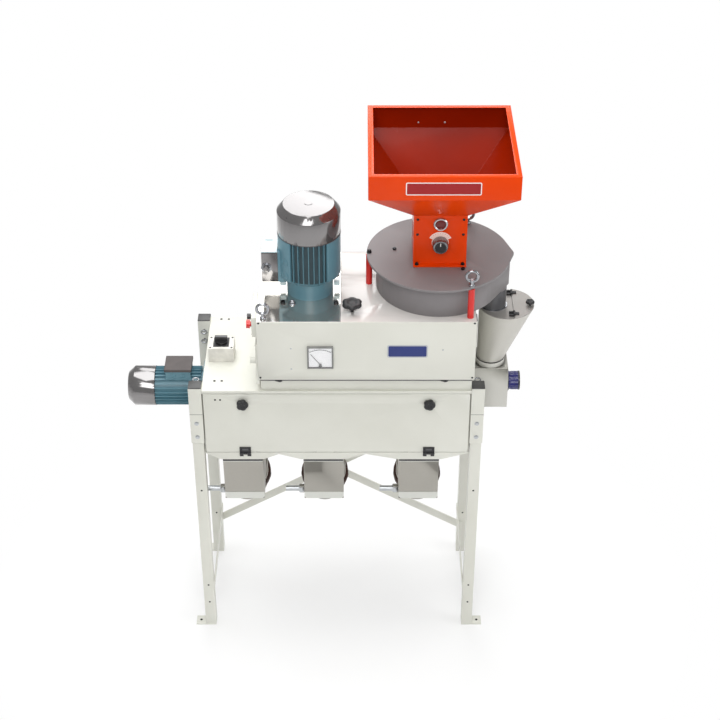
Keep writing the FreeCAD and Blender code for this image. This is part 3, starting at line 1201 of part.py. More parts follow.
def build_duct():
    right, front, back, low, high = duct_right, duct_front, duct_back, duct_low, duct_high
    wall = s.funnel_wall
    lean = front + s.duct_lean
    outer = [(front, low), (front, duct_fold), (lean, high), (back, high), (back, low)]
    inner = [(front + wall, low + wall), (front + wall, duct_fold), (lean + wall, high - wall),
             (back - wall, high - wall), (back - wall, low + wall)]
    sheets = []
    for index in range(5):
        after = (index + 1) % 5
        edge = [outer[index], outer[after], inner[after], inner[index]]
        sheets.append(plate("duct_sheet", "YZ_Plane", edge, casing_x + wall, right - casing_x - 2 * wall))
    half = s.inlet_side / 2
    inlet = slab((casing_x - 1, inlet_y - half, inlet_z - half),
                 (casing_x + wall + 1, inlet_y + half, inlet_z + half))
    mouth_r = s.funnel_low_r - wall
    mouth = rod((funnel_low_x, s.mill_y, high - wall - 1), mouth_r, wall + 2)
    sheets[2] = cut(sheets[2], mouth)
    sheets.append(cut(plate("duct_wall", "YZ_Plane", outer, casing_x, wall), inlet))
    sheets.append(plate("duct_end", "YZ_Plane", outer, right - wall, wall))
    sheets.append(cut(rod((funnel_low_x, s.mill_y, high), s.funnel_low_r + s.duct_collar,
                          funnel_low - high),
                      rod((funnel_low_x, s.mill_y, high - 1), mouth_r, funnel_low - high + 2)))
    node("lower_duct", group(*sheets))
    socket = union(rod((right, socket_y, socket_z), s.socket_r + s.socket_wall, s.socket_ring, ALONG_X),
                   rod((right, socket_y, socket_z), s.socket_r, s.socket_long, ALONG_X))
    mouth = rod((right + 20, socket_y, socket_z), s.socket_r - s.socket_wall, s.socket_long, ALONG_X)
    node("power_inlet", cut(socket, mouth))


def build_controls():
    box = slab((stop_left, stop_front, stop_low), (body_left, stop_back, stop_high))
    wells = []
    for y, radius in ((stop_button_y, s.stop_button_r), (start_button_y, s.start_button_r)):
        wells.append(rod((stop_left - 1, y, button_z), radius * 0.6 + s.button_fit, 14, ALONG_X))
    node("stop_box", cut(box, *wells))
    for name, y, radius in (("stop_button", stop_button_y, s.stop_button_r),
                            ("start_button", start_button_y, s.start_button_r)):
        stem = rod((stop_left - s.button_travel - 1, y, button_z), radius * 0.6, 11, ALONG_X)
        head = rod((stop_left - s.button_travel - 1 - s.button_proud, y, button_z), radius,
                   s.button_proud, ALONG_X)
        node(name, union(stem, head))
    left, front, low = switch_left, s.switch_front, casing_top
    high = low + s.switch_tall
    centre_x, centre_y = left + s.switch_wide / 2, front + s.switch_deep / 2
    case = slab((left, front, low), (left + s.switch_wide, front + s.switch_deep, high))
    plate = slab((centre_x - 30, centre_y - 30, high), (centre_x + 30, centre_y + 30, high + 3))
    well = rod((centre_x, centre_y, high - 14), 5 + s.pin_fit, 40)
    node("switch_box", cut(union(case, plate), well))
    disc = rod((centre_x, centre_y, high + 3.3), s.switch_knob_r, 8)
    grip = slab((centre_x - s.switch_knob_r, centre_y - 7, high + 8),
                (centre_x + s.switch_knob_r, centre_y + 7, high + 8 + s.switch_grip))
    stem = rod((centre_x, centre_y, high - 13), 5, 20)
    node("switch_handle", union(disc, grip, stem))
    node("tension_knob", star_knob("tension_knob", (tension_x, tension_y, body_top + s.tension_stand),
                                   s.star_r, s.star_thick, 6, s.tension_stand + s.plate_thick + 12))


def build_eyes():
    """Lifting eyes on the mill body and two lid posts, and small tie eyes on the corner posts."""
    upright = FreeCAD.Rotation(FreeCAD.Vector(1, 0, 0), 90)
    eyes = []
    posts = lid_post_places()
    for x, y, z in ((eye_x, eye_y, body_top), (*posts[1], lid_high), (*posts[2], lid_high)):
        collar = rod((x, y, z), s.eye_collar_r, s.eye_collar_tall)
        neck = rod((x, y, z + s.eye_collar_tall - 2), s.eye_neck_r, s.eye_neck - s.eye_wire)
        loop = ring((x, y, z + s.eye_neck + s.eye_ring - s.eye_wire), s.eye_ring, s.eye_wire, upright)
        eyes.append(union(collar, neck, loop))
    for sx, sy in corners:
        face = post_in_y * sy
        height = post_top - s.tie_down if sy < 0 else post_top - s.tie_down_back
        near = face if sy < 0 else face - s.tie_shank_long
        shank = rod((post_x * sx, near, height), s.tie_shank_r, s.tie_shank_long, ALONG_Y)
        loop = ring((post_x * sx, face + (s.tie_ring + 6) * -1 * sy, height), s.tie_ring, s.tie_wire)
        eyes.append(union(shank, loop))
    node("eye_bolts", group(*eyes))


def build_bolts(bolts):
    """Every visible screw, one solid each."""
    left_post = lid_post_places()[0]
    bolts.append(rod((*left_post, lid_high), s.nut_r, s.nut_tall))
    plate_top = lid_high + s.foot_plate
    for sx in (-1, 1):
        x = s.mill_x + s.box_screw_x * sx
        for y in (s.mill_y - s.box_front - s.box_foot / 2, s.mill_y + s.box_back + s.box_foot / 2):
            bolts.append(rod((x, y, plate_top), s.box_screw_r, s.box_screw_tall))
        for sy in (-1, 1):
            place = (s.motor_x + s.flange_bolt * sx, s.motor_y + s.flange_bolt * sy, body_top)
            bolts.append(rod(place, s.flange_screw_r, s.flange_screw_tall))
    for x in (body_left + s.panel_screw_in, body_right - s.panel_screw_in):
        for z in (body_low + s.panel_screw_low, body_top - s.panel_screw_high):
            bolts.append(rod((x, panel_front - s.panel_screw_tall, z), s.panel_screw_r,
                             s.panel_screw_tall, ALONG_Y))
    near = s.mill_y - s.box_front - s.box_foot - s.lid_nut_front
    for place in ((s.mill_x - s.lid_nut_left, s.mill_y + s.lid_nut_back, lid_high),
                  (s.mill_x + s.box_screw_x, near, lid_high)):
        bolts.append(rod(place, s.lid_nut_r, s.lid_nut_tall))
    node("bolts", group(*bolts))


def export():
    doc.recompute()
    for item in doc.Objects:
        if "Invalid" in item.State or "Error" in item.State:
            raise RuntimeError(f"{item.Label} did not compute: {item.State}")
    os.makedirs("parts", exist_ok=True)
    total = 0
    for item in nodes:
        shape = item.Shape
        if shape.isNull() or not shape.isValid() or not shape.Solids:
            raise RuntimeError(f"{item.Label} is not a sound solid")
        shape.exportStep(os.path.join("parts", item.Label + ".step"))
        total += 1
    print(total, "pieces written")


frame_bolts = build_frame()
build_braces()
build_casing()
build_tray()
build_door()
build_sieve()
bearing_units()
build_sifter_motor()
build_spouts()
build_mill_body()
build_meter()
build_stones()
build_drum()
build_drive()
build_motor()
build_feed()
build_funnel()
build_duct()
build_controls()
build_eyes()
build_bolts(frame_bolts)
export()
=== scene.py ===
import json
import math

import bmesh
import bpy
import numpy as np
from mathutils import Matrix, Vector


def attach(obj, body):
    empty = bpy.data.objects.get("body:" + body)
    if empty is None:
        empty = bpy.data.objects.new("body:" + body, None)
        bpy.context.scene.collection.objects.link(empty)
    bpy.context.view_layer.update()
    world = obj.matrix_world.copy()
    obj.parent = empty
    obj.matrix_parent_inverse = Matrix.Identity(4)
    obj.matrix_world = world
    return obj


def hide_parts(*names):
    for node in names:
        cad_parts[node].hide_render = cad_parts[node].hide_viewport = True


print("stage: loading the frame")
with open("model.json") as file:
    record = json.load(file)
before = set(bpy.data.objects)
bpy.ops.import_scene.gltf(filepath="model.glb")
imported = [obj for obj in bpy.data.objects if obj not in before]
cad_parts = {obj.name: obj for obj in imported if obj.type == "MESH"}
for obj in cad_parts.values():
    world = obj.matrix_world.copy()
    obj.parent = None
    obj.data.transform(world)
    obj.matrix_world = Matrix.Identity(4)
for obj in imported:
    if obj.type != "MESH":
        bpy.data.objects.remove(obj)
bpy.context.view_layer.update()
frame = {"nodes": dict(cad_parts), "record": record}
nodes = frame["nodes"]
nodeBody = {name: body for body, names in frame["record"]["behaviour"]["bodies"].items() for name in names}
nodeSlot = {row["node"]: row["material_slot"] for row in frame["record"]["subparts"]}


# Shader maths: a wire wraps a socket, so that sums on it add Math nodes
class Wire:
    def __init__(self, finish, socket):
        self.finish = finish
        self.socket = socket

    def calc(self, operation, *values):
        return self.finish.add("ShaderNodeMath", {"operation": operation}, *values)

    def __add__(self, other):
        return self.calc("ADD", self, other)

    def __radd__(self, other):
        return self.calc("ADD", other, self)

    def __mul__(self, other):
        return self.calc("MULTIPLY", self, other)

    def __rmul__(self, other):
        return self.calc("MULTIPLY", other, self)

    def between(self, low, high):
        return self.finish.add("ShaderNodeMapRange", {"clamp": True}, self, low, high, 0.0, 1.0)


def linear(red, green, blue):
    # sRGB values out of 255 to the linear colour that a shader takes
    return [((c / 255 + 0.055) / 1.055) ** 2.4 if c > 10 else c / 3294.6 for c in (red, green, blue)] + [1.0]


# One material: its tree, its Principled shader and one method that adds any node
class Finish:
    def __init__(self, name, **plain):
        self.material = bpy.data.materials.new(name)
        self.material.use_nodes = True
        self.tree = self.material.node_tree
        self.shader = self.tree.nodes["Principled BSDF"]
        self.place = self.add("ShaderNodeTexCoord", {}, output="Object")
        for socket, value in plain.items():
            self.shader.inputs[socket.replace("_", " ")].default_value = value

    def add(self, kind, settings, *values, output=0, **named):
        made = self.tree.nodes.new(kind)
        for key, value in settings.items():
            if key == "stops":
                ramp = made.color_ramp
                for index, (position, colour) in enumerate(value):
                    stop = ramp.elements[index] if index < 2 else ramp.elements.new(position)
                    stop.position = position
                    stop.color = colour
            else:
                setattr(made, key, value)
        for key, value in list(enumerate(values)) + [(k.replace("_", " "), v) for k, v in named.items()]:
            if isinstance(value, Wire):
                self.tree.links.new(value.socket, made.inputs[key])
            elif value is not None:
                made.inputs[key].default_value = value
        return Wire(self, made.outputs[output])

    def feed(self, socket, wire):
        self.tree.links.new(wire.socket, self.shader.inputs[socket])

    def noise(self, scale, detail=3.0, stretch=(1, 1, 1), roughness=0.5):
        spot = self.add("ShaderNodeMapping", {}, Vector=self.place, Scale=stretch)
        return self.add("ShaderNodeTexNoise", {}, Vector=spot, Scale=scale, Detail=detail, Roughness=roughness)

    def blend(self, factor, first, second):
        made = self.tree.nodes.new("ShaderNodeMix")
        made.data_type = "RGBA"
        for index, value in ((0, factor), (6, first), (7, second)):
            if isinstance(value, Wire):
                self.tree.links.new(value.socket, made.inputs[index])
            else:
                made.inputs[index].default_value = value
        return Wire(self, made.outputs[2])

    def bump(self, height, strength, distance=0.001):
        normal = self.add("ShaderNodeBump", {}, Strength=strength, Distance=distance, Height=height)
        self.feed("Normal", normal)


def paint(name, colour, shade, roughness, peel=0.12, coat=0.0, metallic=0.0):
    # Sprayed enamel: a faint cloud in the colour, a patchy gloss and fine orange peel
    finish = Finish(name, Metallic=metallic, Coat_Weight=coat, Coat_Roughness=0.08, IOR=1.5)
    cloud = finish.noise(3.2, 4.0)
    finish.feed("Base Color", finish.blend(cloud.between(0.35, 0.7), colour, shade))
    finish.feed("Roughness", roughness - 0.05 + 0.1 * finish.noise(11.0, 3.0))
    finish.bump(finish.noise(900.0, 1.0), peel, 0.0002)
    return finish.material


def brushed(name, colour, shade, roughness, stretch, streak=0.25, metallic=0.92):
    # Rolled or brushed sheet: long fine streaks in colour, gloss and height
    finish = Finish(name, Metallic=metallic, IOR=1.6)
    lines = finish.noise(60.0, 3.0, stretch)
    cloud = finish.noise(5.0, 3.0)
    finish.feed("Base Color", finish.blend(0.6 * lines + 0.4 * cloud, colour, shade))
    finish.feed("Roughness", roughness - 0.5 * streak * 0.3 + streak * 0.3 * lines)
    finish.bump(lines, 0.12, 0.0003)
    return finish.material


def moulded(name, colour, roughness, grain=900.0, coat=0.0):
    # Moulded plastic: an even colour under a fine grain, a little polished where it is handled
    finish = Finish(name, Coat_Weight=coat, IOR=1.46)
    worn = finish.noise(24.0, 2.0)
    lift = [min(1.0, c * 1.25 + 0.004) for c in colour[:3]] + [1.0]
    finish.feed("Base Color", finish.blend(worn.between(0.4, 0.75), colour, lift))
    finish.feed("Roughness", roughness - 0.08 + 0.16 * worn)
    finish.bump(finish.noise(grain, 2.0), 0.18, 0.0002)
    return finish.material


def stoneFinish():
    # Millstone: pale grit bound in cement, with darker and lighter grains and pits
    finish = Finish("millstone", Roughness=0.92)
    grains = finish.add("ShaderNodeTexVoronoi", {}, Vector=finish.place, Scale=260.0, output="Color")
    grey = finish.add("ShaderNodeRGBToBW", {}, grains)
    tone = 0.6 * grey + 0.4 * finish.noise(30.0, 5.0)
    finish.feed("Base Color", finish.blend(tone, linear(150, 140, 120), linear(214, 206, 188)))
    finish.bump(finish.noise(420.0, 5.0), 0.7, 0.0015)
    return finish.material


def leatherFinish():
    # Oiled strap leather: dark brown, wrinkled finely, lighter where it has been bent
    finish = Finish("strapLeather", Specular_IOR_Level=0.45)
    creases = finish.add("ShaderNodeTexVoronoi", {"feature": "DISTANCE_TO_EDGE"}, Vector=finish.place, Scale=240.0)
    wear = finish.noise(18.0, 5.0)
    finish.feed("Base Color", finish.blend(wear.between(0.42, 0.78), linear(54, 31, 24), linear(86, 53, 41)))
    finish.feed("Roughness", 0.42 + 0.3 * wear)
    finish.bump(creases.between(0.0, 0.12) + 0.3 * finish.noise(90.0, 4.0), 0.5, 0.0006)
    return finish.material


def hopperFinish():
    # Gloss red enamel; faces marked as looking inwards carry a darker red, painted shade for the hopper's interior
    finish = Finish("hopperRed", Coat_Weight=0.05, Coat_Roughness=0.05, Specular_IOR_Level=0.14)
    inside = finish.add("ShaderNodeAttribute", {"attribute_name": "inside"}, output="Fac")
    cloud = finish.noise(3.2, 4.0).between(0.35, 0.7)
    outer = finish.blend(cloud, linear(226, 68, 6), linear(217, 61, 4))
    # painted shade: the interior walls take this darker red for the shade that falls in the hopper
    inner = finish.blend(cloud, linear(138, 27, 0), linear(126, 22, 0))
    finish.feed("Base Color", finish.blend(inside, outer, inner))
    finish.feed("Roughness", 0.2 + 0.1 * finish.noise(11.0, 3.0))
    finish.bump(finish.noise(900.0, 1.0), 0.06, 0.0002)
    return finish.material


def funnelFinish():
    # Satin sheet: upright streaks on the cone, and a duller tone on the faces above the rim
    finish = Finish("funnelSteel", Metallic=0.55, IOR=1.6)
    streaks = finish.noise(60.0, 3.0, (18, 18, 1))
    cloud = finish.noise(5.0, 3.0)
    height = finish.add("ShaderNodeSeparateXYZ", {}, finish.place, output=2)
    side = finish.blend(0.6 * streaks + 0.4 * cloud, linear(210, 208, 201), linear(188, 186, 180))
    top = finish.blend(cloud, linear(172, 168, 164), linear(156, 153, 149))
    finish.feed("Base Color", finish.blend(height.between(1.4705, 1.4715), side, top))
    finish.feed("Roughness", 0.46 + 0.08 * streaks)
    finish.bump(streaks, 0.12, 0.0003)
    return finish.material


def rubberFinish():
    finish = Finish("beltRubber")
    dust = finish.noise(40.0, 4.0)
    finish.feed("Base Color", finish.blend(dust.between(0.5, 0.8), linear(24, 24, 25), linear(70, 69, 66)))
    finish.feed("Roughness", 0.7 + 0.2 * dust)
    finish.bump(finish.noise(500.0, 3.0), 0.3, 0.0003)
    return finish.material


def clearFinish(name, colour, weight, alpha=1.0):
    finish = Finish(name, Base_Color=colour, Roughness=0.04, IOR=1.49, Transmission_Weight=weight, Alpha=alpha)
    finish.bump(finish.noise(30.0, 1.0), 0.02, 0.0002)
    return finish.material


def dialFinish():
    # Printed card behind the meter's window
    finish = Finish("dialCard")
    finish.feed("Base Color", finish.blend(finish.noise(60.0, 2.0), linear(232, 232, 234), linear(242, 242, 243)))
    finish.feed("Roughness", 0.5 + 0.1 * finish.noise(200.0, 2.0))
    finish.bump(finish.noise(1200.0, 1.0), 0.05, 0.0001)
    return finish.material


print("stage: finishes")
finishes = {
    "white_paint": paint("whitePaint", linear(218, 218, 209), linear(211, 211, 201), 0.36, coat=0.15),
    "gloss_white": paint("glossWhite", linear(218, 214, 210), linear(210, 206, 202), 0.2, peel=0.04, coat=0.4),
    "drum_grey": paint("drumGrey", linear(130, 126, 127), linear(121, 117, 118), 0.52, coat=0.05),
    "hopper_red": hopperFinish(),
    "signal_red": paint("signalRed", linear(214, 24, 12), linear(202, 20, 10), 0.3, peel=0.05, coat=0.2),
    "motor_blue": paint("motorBlue", linear(92, 136, 150), linear(82, 124, 138), 0.4, peel=0.25, coat=0.15),
    "cowl_grey": paint("cowlGrey", linear(136, 134, 134), linear(128, 126, 126), 0.14, peel=0.03, coat=0.3,
                       metallic=0.85),
    "spout_steel": brushed("spoutSteel", linear(176, 173, 166), linear(160, 157, 150), 0.42, (1, 1, 18)),
    "funnel_steel": funnelFinish(),
    "screen_steel": brushed("screenSteel", linear(190, 190, 190), linear(160, 160, 160), 0.35, (1, 20, 20)),
    "turned_steel": brushed("turnedSteel", linear(180, 181, 183), linear(150, 151, 153), 0.3, (1, 1, 24)),
    "zinc": brushed("zincPlate", linear(200, 203, 205), linear(176, 179, 182), 0.34, (4, 4, 4)),
    "chrome_steel": brushed("chromeSteel", linear(176, 178, 182), linear(150, 152, 156), 0.16, (3, 3, 3), 0.1),
    "bearing_iron": brushed("machinedIron", linear(112, 114, 117), linear(84, 86, 90), 0.45, (2, 2, 20)),
    "millstone": stoneFinish(),
    "belt_rubber": rubberFinish(),
    "strap_brown": leatherFinish(),
    "black_plastic": moulded("blackPlastic", linear(36, 36, 38), 0.46),
    "button_black": moulded("buttonBlack", linear(26, 26, 28), 0.3, coat=0.3),
    "button_red": moulded("buttonRed", linear(205, 30, 26), 0.26, coat=0.4),
    "knob_grey": brushed("knobGrey", linear(150, 150, 152), linear(120, 120, 122), 0.26, (3, 3, 3)),
    "dial_white": moulded("meterCase", linear(120, 121, 118), 0.3, coat=0.3),
    "needle_black": moulded("needleBlack", linear(52, 52, 54), 0.5),
    "box_grey": moulded("boxGrey", linear(214, 212, 205), 0.4),
    "inlet_blue": moulded("inletBlue", linear(18, 20, 96), 0.16, coat=0.3),
    "sight_glass": brushed("bezelChrome", linear(196, 196, 198), linear(176, 176, 178), 0.16, (3, 3, 3), 0.1),
}
capGrey = moulded("capGrey", linear(70, 70, 70), 0.42)
dialCard = dialFinish()
windowClear = clearFinish("meterWindow", [1, 1, 1, 1], 0.0, 0.1)
sightDark = clearFinish("sightWindow", linear(120, 24, 22), 0.35)
whiteEnamel = paint("whiteEnamel", linear(238, 234, 230), linear(232, 228, 224), 0.3, coat=0.4)
plateRed = paint("plateRed", linear(158, 6, 12), linear(146, 4, 9), 0.5)
plateBlue = paint("plateBlue", linear(34, 50, 118), linear(30, 44, 104), 0.5)
# grey ink for marks and seams, also painted shade for the skirt strip, the spout bands, the dial's recess and the
# lid's slot
inkAndShadeGrey = moulded("inkAndShadeGrey", linear(78, 78, 80), 0.6)
darkSteel = brushed("darkSteel", linear(62, 62, 64), linear(44, 44, 46), 0.36, (3, 3, 3))
# dark for the black screws of the legs, and painted shade inside holes and slots
holeShadeAndScrewDark = moulded("holeShadeAndScrewDark", linear(20, 20, 21), 0.8)
paleEnamel = paint("paleEnamel", linear(250, 226, 218), linear(246, 218, 208), 0.3, coat=0.4)
ductGrey = paint("ductGrey", linear(203, 202, 196), linear(194, 193, 187), 0.36, coat=0.15)
lidGrey = moulded("lidGrey", linear(78, 72, 71), 0.55)
pipeDark = paint("pipeDark", linear(84, 84, 87), linear(74, 74, 77), 0.34, coat=0.2)
# a pale blue-white for the tops of the motor's ears and terminal lid: a painted highlight where the light falls on
# them
paleHighlight = paint("paleHighlight", linear(204, 224, 228), linear(194, 216, 220), 0.3, coat=0.3)
slideSteel = brushed("slideSteel", linear(226, 224, 218), linear(216, 214, 208), 0.1, (1, 14, 1), 0.1)
# dark teal, painted shade in the motor's fin grooves
finShade = moulded("finShade", linear(44, 62, 68), 0.6)
# a lighter copy of the spout steel, painted light on the spouts' flanges, edges and lips
litSpoutSteel = brushed("litSpoutSteel", linear(222, 223, 217), linear(208, 209, 203), 0.34, (1, 1, 18), 0.15)


def dress(obj, finish):
    obj.data.materials.clear()
    obj.data.materials.append(finish)


for name, obj in nodes.items():
    dress(obj, finishes[nodeSlot[name]])
dress(nodes["post_caps"], capGrey)
dress(nodes["lower_duct"], ductGrey)


# Meshes from arrays
def gridFaces(rows, columns, wrapRows=False, wrapColumns=True):
    # quads between neighbours of a grid of points, joined round where it wraps
    down = np.arange(rows if wrapRows else rows - 1)
    along = np.arange(columns if wrapColumns else columns - 1)
    r, c = np.meshgrid(down, along, indexing="ij")
    below, beside = (r + 1) % rows, (c + 1) % columns
    quads = [r * columns + c, r * columns + beside, below * columns + beside, below * columns + c]
    return np.stack(quads, -1).reshape(-1, 4)


def facing(axis):
    # three columns that carry local x, y and z to a frame whose z is the given axis
    z = np.array(axis, float) / np.linalg.norm(axis)
    helper = np.array([0.0, 0.0, 1.0]) if abs(z[2]) < 0.9 else np.array([1.0, 0.0, 0.0])
    x = np.cross(helper, z)
    x /= np.linalg.norm(x)
    return np.stack([x, np.cross(z, x), z], 1)


def meshOf(name, parts, smooth=40):
    # joins grids of (points, faces), closes their seams and poles and turns the faces outwards
    points, faces, start = [], [], 0
    for spots, quads in parts:
        spots = spots.reshape(-1, 3)
        points.append(spots)
        faces.append(quads + start)
        start += len(spots)
    mesh = bpy.data.meshes.new(name)
    mesh.from_pydata(np.concatenate(points).tolist(), [], np.concatenate(faces).tolist())
    shell = bmesh.new()
    shell.from_mesh(mesh)
    bmesh.ops.remove_doubles(shell, verts=shell.verts, dist=1e-6)
    bmesh.ops.dissolve_degenerate(shell, edges=shell.edges, dist=1e-7)
    bmesh.ops.recalc_face_normals(shell, faces=shell.faces)
    for face in shell.faces:
        face.smooth = True
    for edge in shell.edges:
        edge.smooth = edge.calc_face_angle(0.0) < math.radians(smooth)
    shell.to_mesh(mesh)
    shell.free()
    obj = bpy.data.objects.new(name, mesh)
    bpy.context.scene.collection.objects.link(obj)
    return obj


def fit(obj, body, slot, finish=None, replaced=()):
    # gives a new piece its body, its finish and the nodes it stands for
    dress(obj, finish or finishes[slot])
    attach(obj, body)
    if replaced:
        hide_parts(*replaced)
    return obj

# Sheet-metal and cast pieces keep the frame's shape and get softened edges
softEdges = {
    "hopper": 0.0018, "feed_box": 0.0014, "mill_body": 0.0016, "front_panel": 0.0008, "top_plate": 0.0012,
    "base_skirt": 0.001, "sifter_casing": 0.0008, "sifter_door": 0.0009, "corner_posts": 0.003, "legs": 0.0022,
    "post_caps": 0.0022, "lower_duct": 0.0009, "stop_box": 0.002, "switch_box": 0.003, "motor_terminal_box": 0.003,
    "drum": 0.001, "drum_lid": 0.0022, "leg_braces": 0.0008, "outlet_tray": 0.0007, "outlet_spouts": 0.0007,
    "motor_cowl": 0.0025, "sifter_motor_cowl": 0.002,
}


def markInside(mesh, axis):
    # a face is marked 1 where its normal points back to the upright axis through the given place
    count = len(mesh.polygons)
    normals, centres = np.zeros(count * 3), np.zeros(count * 3)
    mesh.polygons.foreach_get("normal", normals)
    mesh.polygons.foreach_get("center", centres)
    normals, centres = normals.reshape(-1, 3), centres.reshape(-1, 3)
    outwards = ((centres[:, :2] - np.array(axis)) * normals[:, :2]).sum(1)
    # the mark picks the faces that take the hopper's painted shade
    mark = mesh.attributes.new("inside", "FLOAT", "FACE")
    mark.data.foreach_set("value", (outwards < -0.02).astype(np.float32))


def roundEdges(piece, width):
    # a bevel of two steps on every edge that is sharper than the angle
    bevel = piece.modifiers.new("edges", "BEVEL")
    bevel.width = width
    bevel.segments = 2
    bevel.limit_method = "ANGLE"
    bevel.angle_limit = math.radians(32)
    bevel.use_clamp_overlap = True
    return bevel


def soften(name, width):
    # the frame's own mesh, welded and with its flat faces joined, under a bevel
    shell = bmesh.new()
    shell.from_mesh(nodes[name].data)
    bmesh.ops.remove_doubles(shell, verts=shell.verts, dist=1e-6)
    bmesh.ops.dissolve_limit(shell, angle_limit=math.radians(1.0), verts=shell.verts, edges=shell.edges)
    mesh = bpy.data.meshes.new(name + "_soft")
    shell.to_mesh(mesh)
    shell.free()
    if name == "hopper":
        markInside(mesh, (0.38, -0.046))
    piece = bpy.data.objects.new(name + "_soft", mesh)
    bpy.context.scene.collection.objects.link(piece)
    mesh.shade_smooth()
    roundEdges(piece, width).harden_normals = True
    finish = {"post_caps": capGrey, "lower_duct": ductGrey}.get(name)
    fit(piece, nodeBody[name], nodeSlot[name], finish, (name,))


print("stage: softened sheet metal")
for name, width in softEdges.items():
    soften(name, width)


# Directions, and the places of the frame that several pieces share, in millimetres
frontFacing = (0, -1, 0)
rearFacing = (0, 1, 0)
upwards = (0, 0, 1)
leftwards = (-1, 0, 0)
rightwards = (1, 0, 0)
places = {"legX": 536, "doorFace": -255, "panelFace": -312, "deckTop": 1568, "lidTop": 1702, "drum": (380, -46)}


# Small shapes: each gives points in metres and faces, from sizes and places in millimetres
def metres(values):
    return np.array(values, float) / 1000


def lathe(profile, centre, axis, sides=48, ripple=None, closed=False):
    # profile is (radius, height) along the axis; ripple scales the radius by angle and height
    outline = np.array(profile, float)
    angle = np.linspace(0, 2 * np.pi, sides, endpoint=False)
    radius = outline[:, :1] * np.ones(sides)
    if ripple is not None:
        radius = radius * ripple(angle[None, :], outline[:, 1:])
    local = np.stack([radius * np.cos(angle), radius * np.sin(angle), outline[:, 1:] * np.ones(sides)], -1)
    return metres(local) @ facing(axis).T + metres(centre), gridFaces(len(outline), sides, closed)


def torus(centre, axis, ring, wire, sides=40, turns=16):
    # a circle of wire carried round a ring about the axis
    u = np.linspace(0, 2 * np.pi, sides, endpoint=False)[:, None]
    v = np.linspace(0, 2 * np.pi, turns, endpoint=False)[None, :]
    reach = ring + wire * np.cos(v)
    local = np.stack([reach * np.cos(u), reach * np.sin(u), wire * np.sin(v) + 0 * u], -1)
    return metres(local) @ facing(axis).T + metres(centre), gridFaces(sides, turns, True)


def box(low, high):
    # six quads between two corners
    near, far = metres([low, high])
    pick = np.array([[i >> 2 & 1, i >> 1 & 1, i & 1] for i in range(8)])
    quads = [[0, 1, 3, 2], [4, 6, 7, 5], [0, 4, 5, 1], [2, 3, 7, 6], [0, 2, 6, 4], [1, 5, 7, 3]]
    return near + pick * (far - near), np.array(quads)


def disc(centre, axis, radius, thick, edge=0.0, sides=40):
    # a round plate standing on its centre, with a broken upper edge
    profile = [(0, 0), (radius, 0), (radius, thick - edge), (radius - edge, thick), (0, thick)]
    return lathe(profile, centre, axis, sides)


def dome(centre, axis, radius, tall, sides=24):
    # a low rounded head: a quarter ellipse turned about its axis
    turn = np.linspace(0, np.pi / 2, 6)
    curve = np.column_stack([radius * np.cos(turn), tall * np.sin(turn)])
    return lathe(np.vstack([[0, 0], curve, [0, tall]]), centre, axis, sides)


def washer(centre, axis, outer, inner, thick, sides=40):
    # a flat ring: a rectangle between two radii turned about the axis, closed on itself
    profile = [(inner, 0), (outer, 0), (outer, thick), (inner, thick)]
    return lathe(profile, centre, axis, sides, closed=True)


def hexHead(centre, axis, radius, tall):
    # a six-sided head: flats pull the circle in by the cosine of the angle from the nearest corner
    def flats(angle, height):
        return np.cos(np.pi / 6) / np.cos((angle + np.pi / 6) % (np.pi / 3) - np.pi / 6)

    shoulder, crown = tall * 0.84, radius * 0.9
    return lathe([(0, 0), (radius, 0), (radius, shoulder), (crown, tall), (0, tall)], centre, axis, 36, flats)


def bolt(centre, axis, ring, head, sunk=0.2):
    # a washer of (outer, inner, thick) with a head of (radius, height) sunk a little into it
    seat = np.array(centre, float) + np.array(axis) * (ring[2] - sunk)
    return [washer(centre, axis, *ring), hexHead(seat, axis, *head)]


def plateFrame(axis):
    # like facing, but a plate that faces the operator has its local x to the right and its local y up
    return np.array([[1.0, 0, 0], [0, 0, -1.0], [0, 1.0, 0]]) if axis == frontFacing else facing(axis)


def arcPlate(centre, axis, inner, outer, start, end, thick, sides=40):
    # a flat arc between two radii and two angles, as a closed box bent round the axis
    angle = np.radians(np.linspace(start, end, sides))[:, None]
    across, up = np.array([(inner, 0), (outer, 0), (outer, thick), (inner, thick)], float).T
    local = np.stack([across * np.cos(angle), across * np.sin(angle), up + 0 * angle], -1)
    last = 4 * sides - 1
    ends = [[0, 1, 2, 3], [last, last - 1, last - 2, last - 3]]
    return metres(local) @ plateFrame(axis).T + metres(centre), np.vstack([gridFaces(sides, 4), ends])


def extruded(outline, centre, axis, thick):
    # a flat closed outline of (x, y) given thickness along the axis, closed by fans of thin triangles
    flat = np.array(outline, float)
    middle = np.repeat(flat.mean(0)[None], len(flat), 0)
    rings = ((middle, 0), (flat, 0), (flat, thick), (middle, thick))
    local = np.stack([np.column_stack([ring, np.full(len(flat), height)]) for ring, height in rings])
    return metres(local) @ plateFrame(axis).T + metres(centre), gridFaces(4, len(flat))


def roundPlate(centre, width, height, corner, thick, sides=7):
    # a plate that faces the operator: four quarter arcs joined round and given thickness
    turn = np.linspace(0, np.pi / 2, sides)
    x, y = width / 2 - corner, height / 2 - corner
    outline = []
    for quarter, (cx, cy) in enumerate(((x, y), (-x, y), (-x, -y), (x, -y))):
        angle = turn + quarter * np.pi / 2
        outline.append(np.column_stack([cx + corner * np.cos(angle), cy + corner * np.sin(angle)]))
    return extruded(np.vstack(outline), centre, frontFacing, thick)


def made(name, parts, slot, finish=None, body="frame", replaced=(), edge=0.0, smooth=40):
    # a piece of several small shapes, with its edges rounded where a width is given
    piece = fit(meshOf(name, parts, smooth), body, slot, finish, replaced)
    if edge:
        roundEdges(piece, edge)


print("stage: knobs and screws")


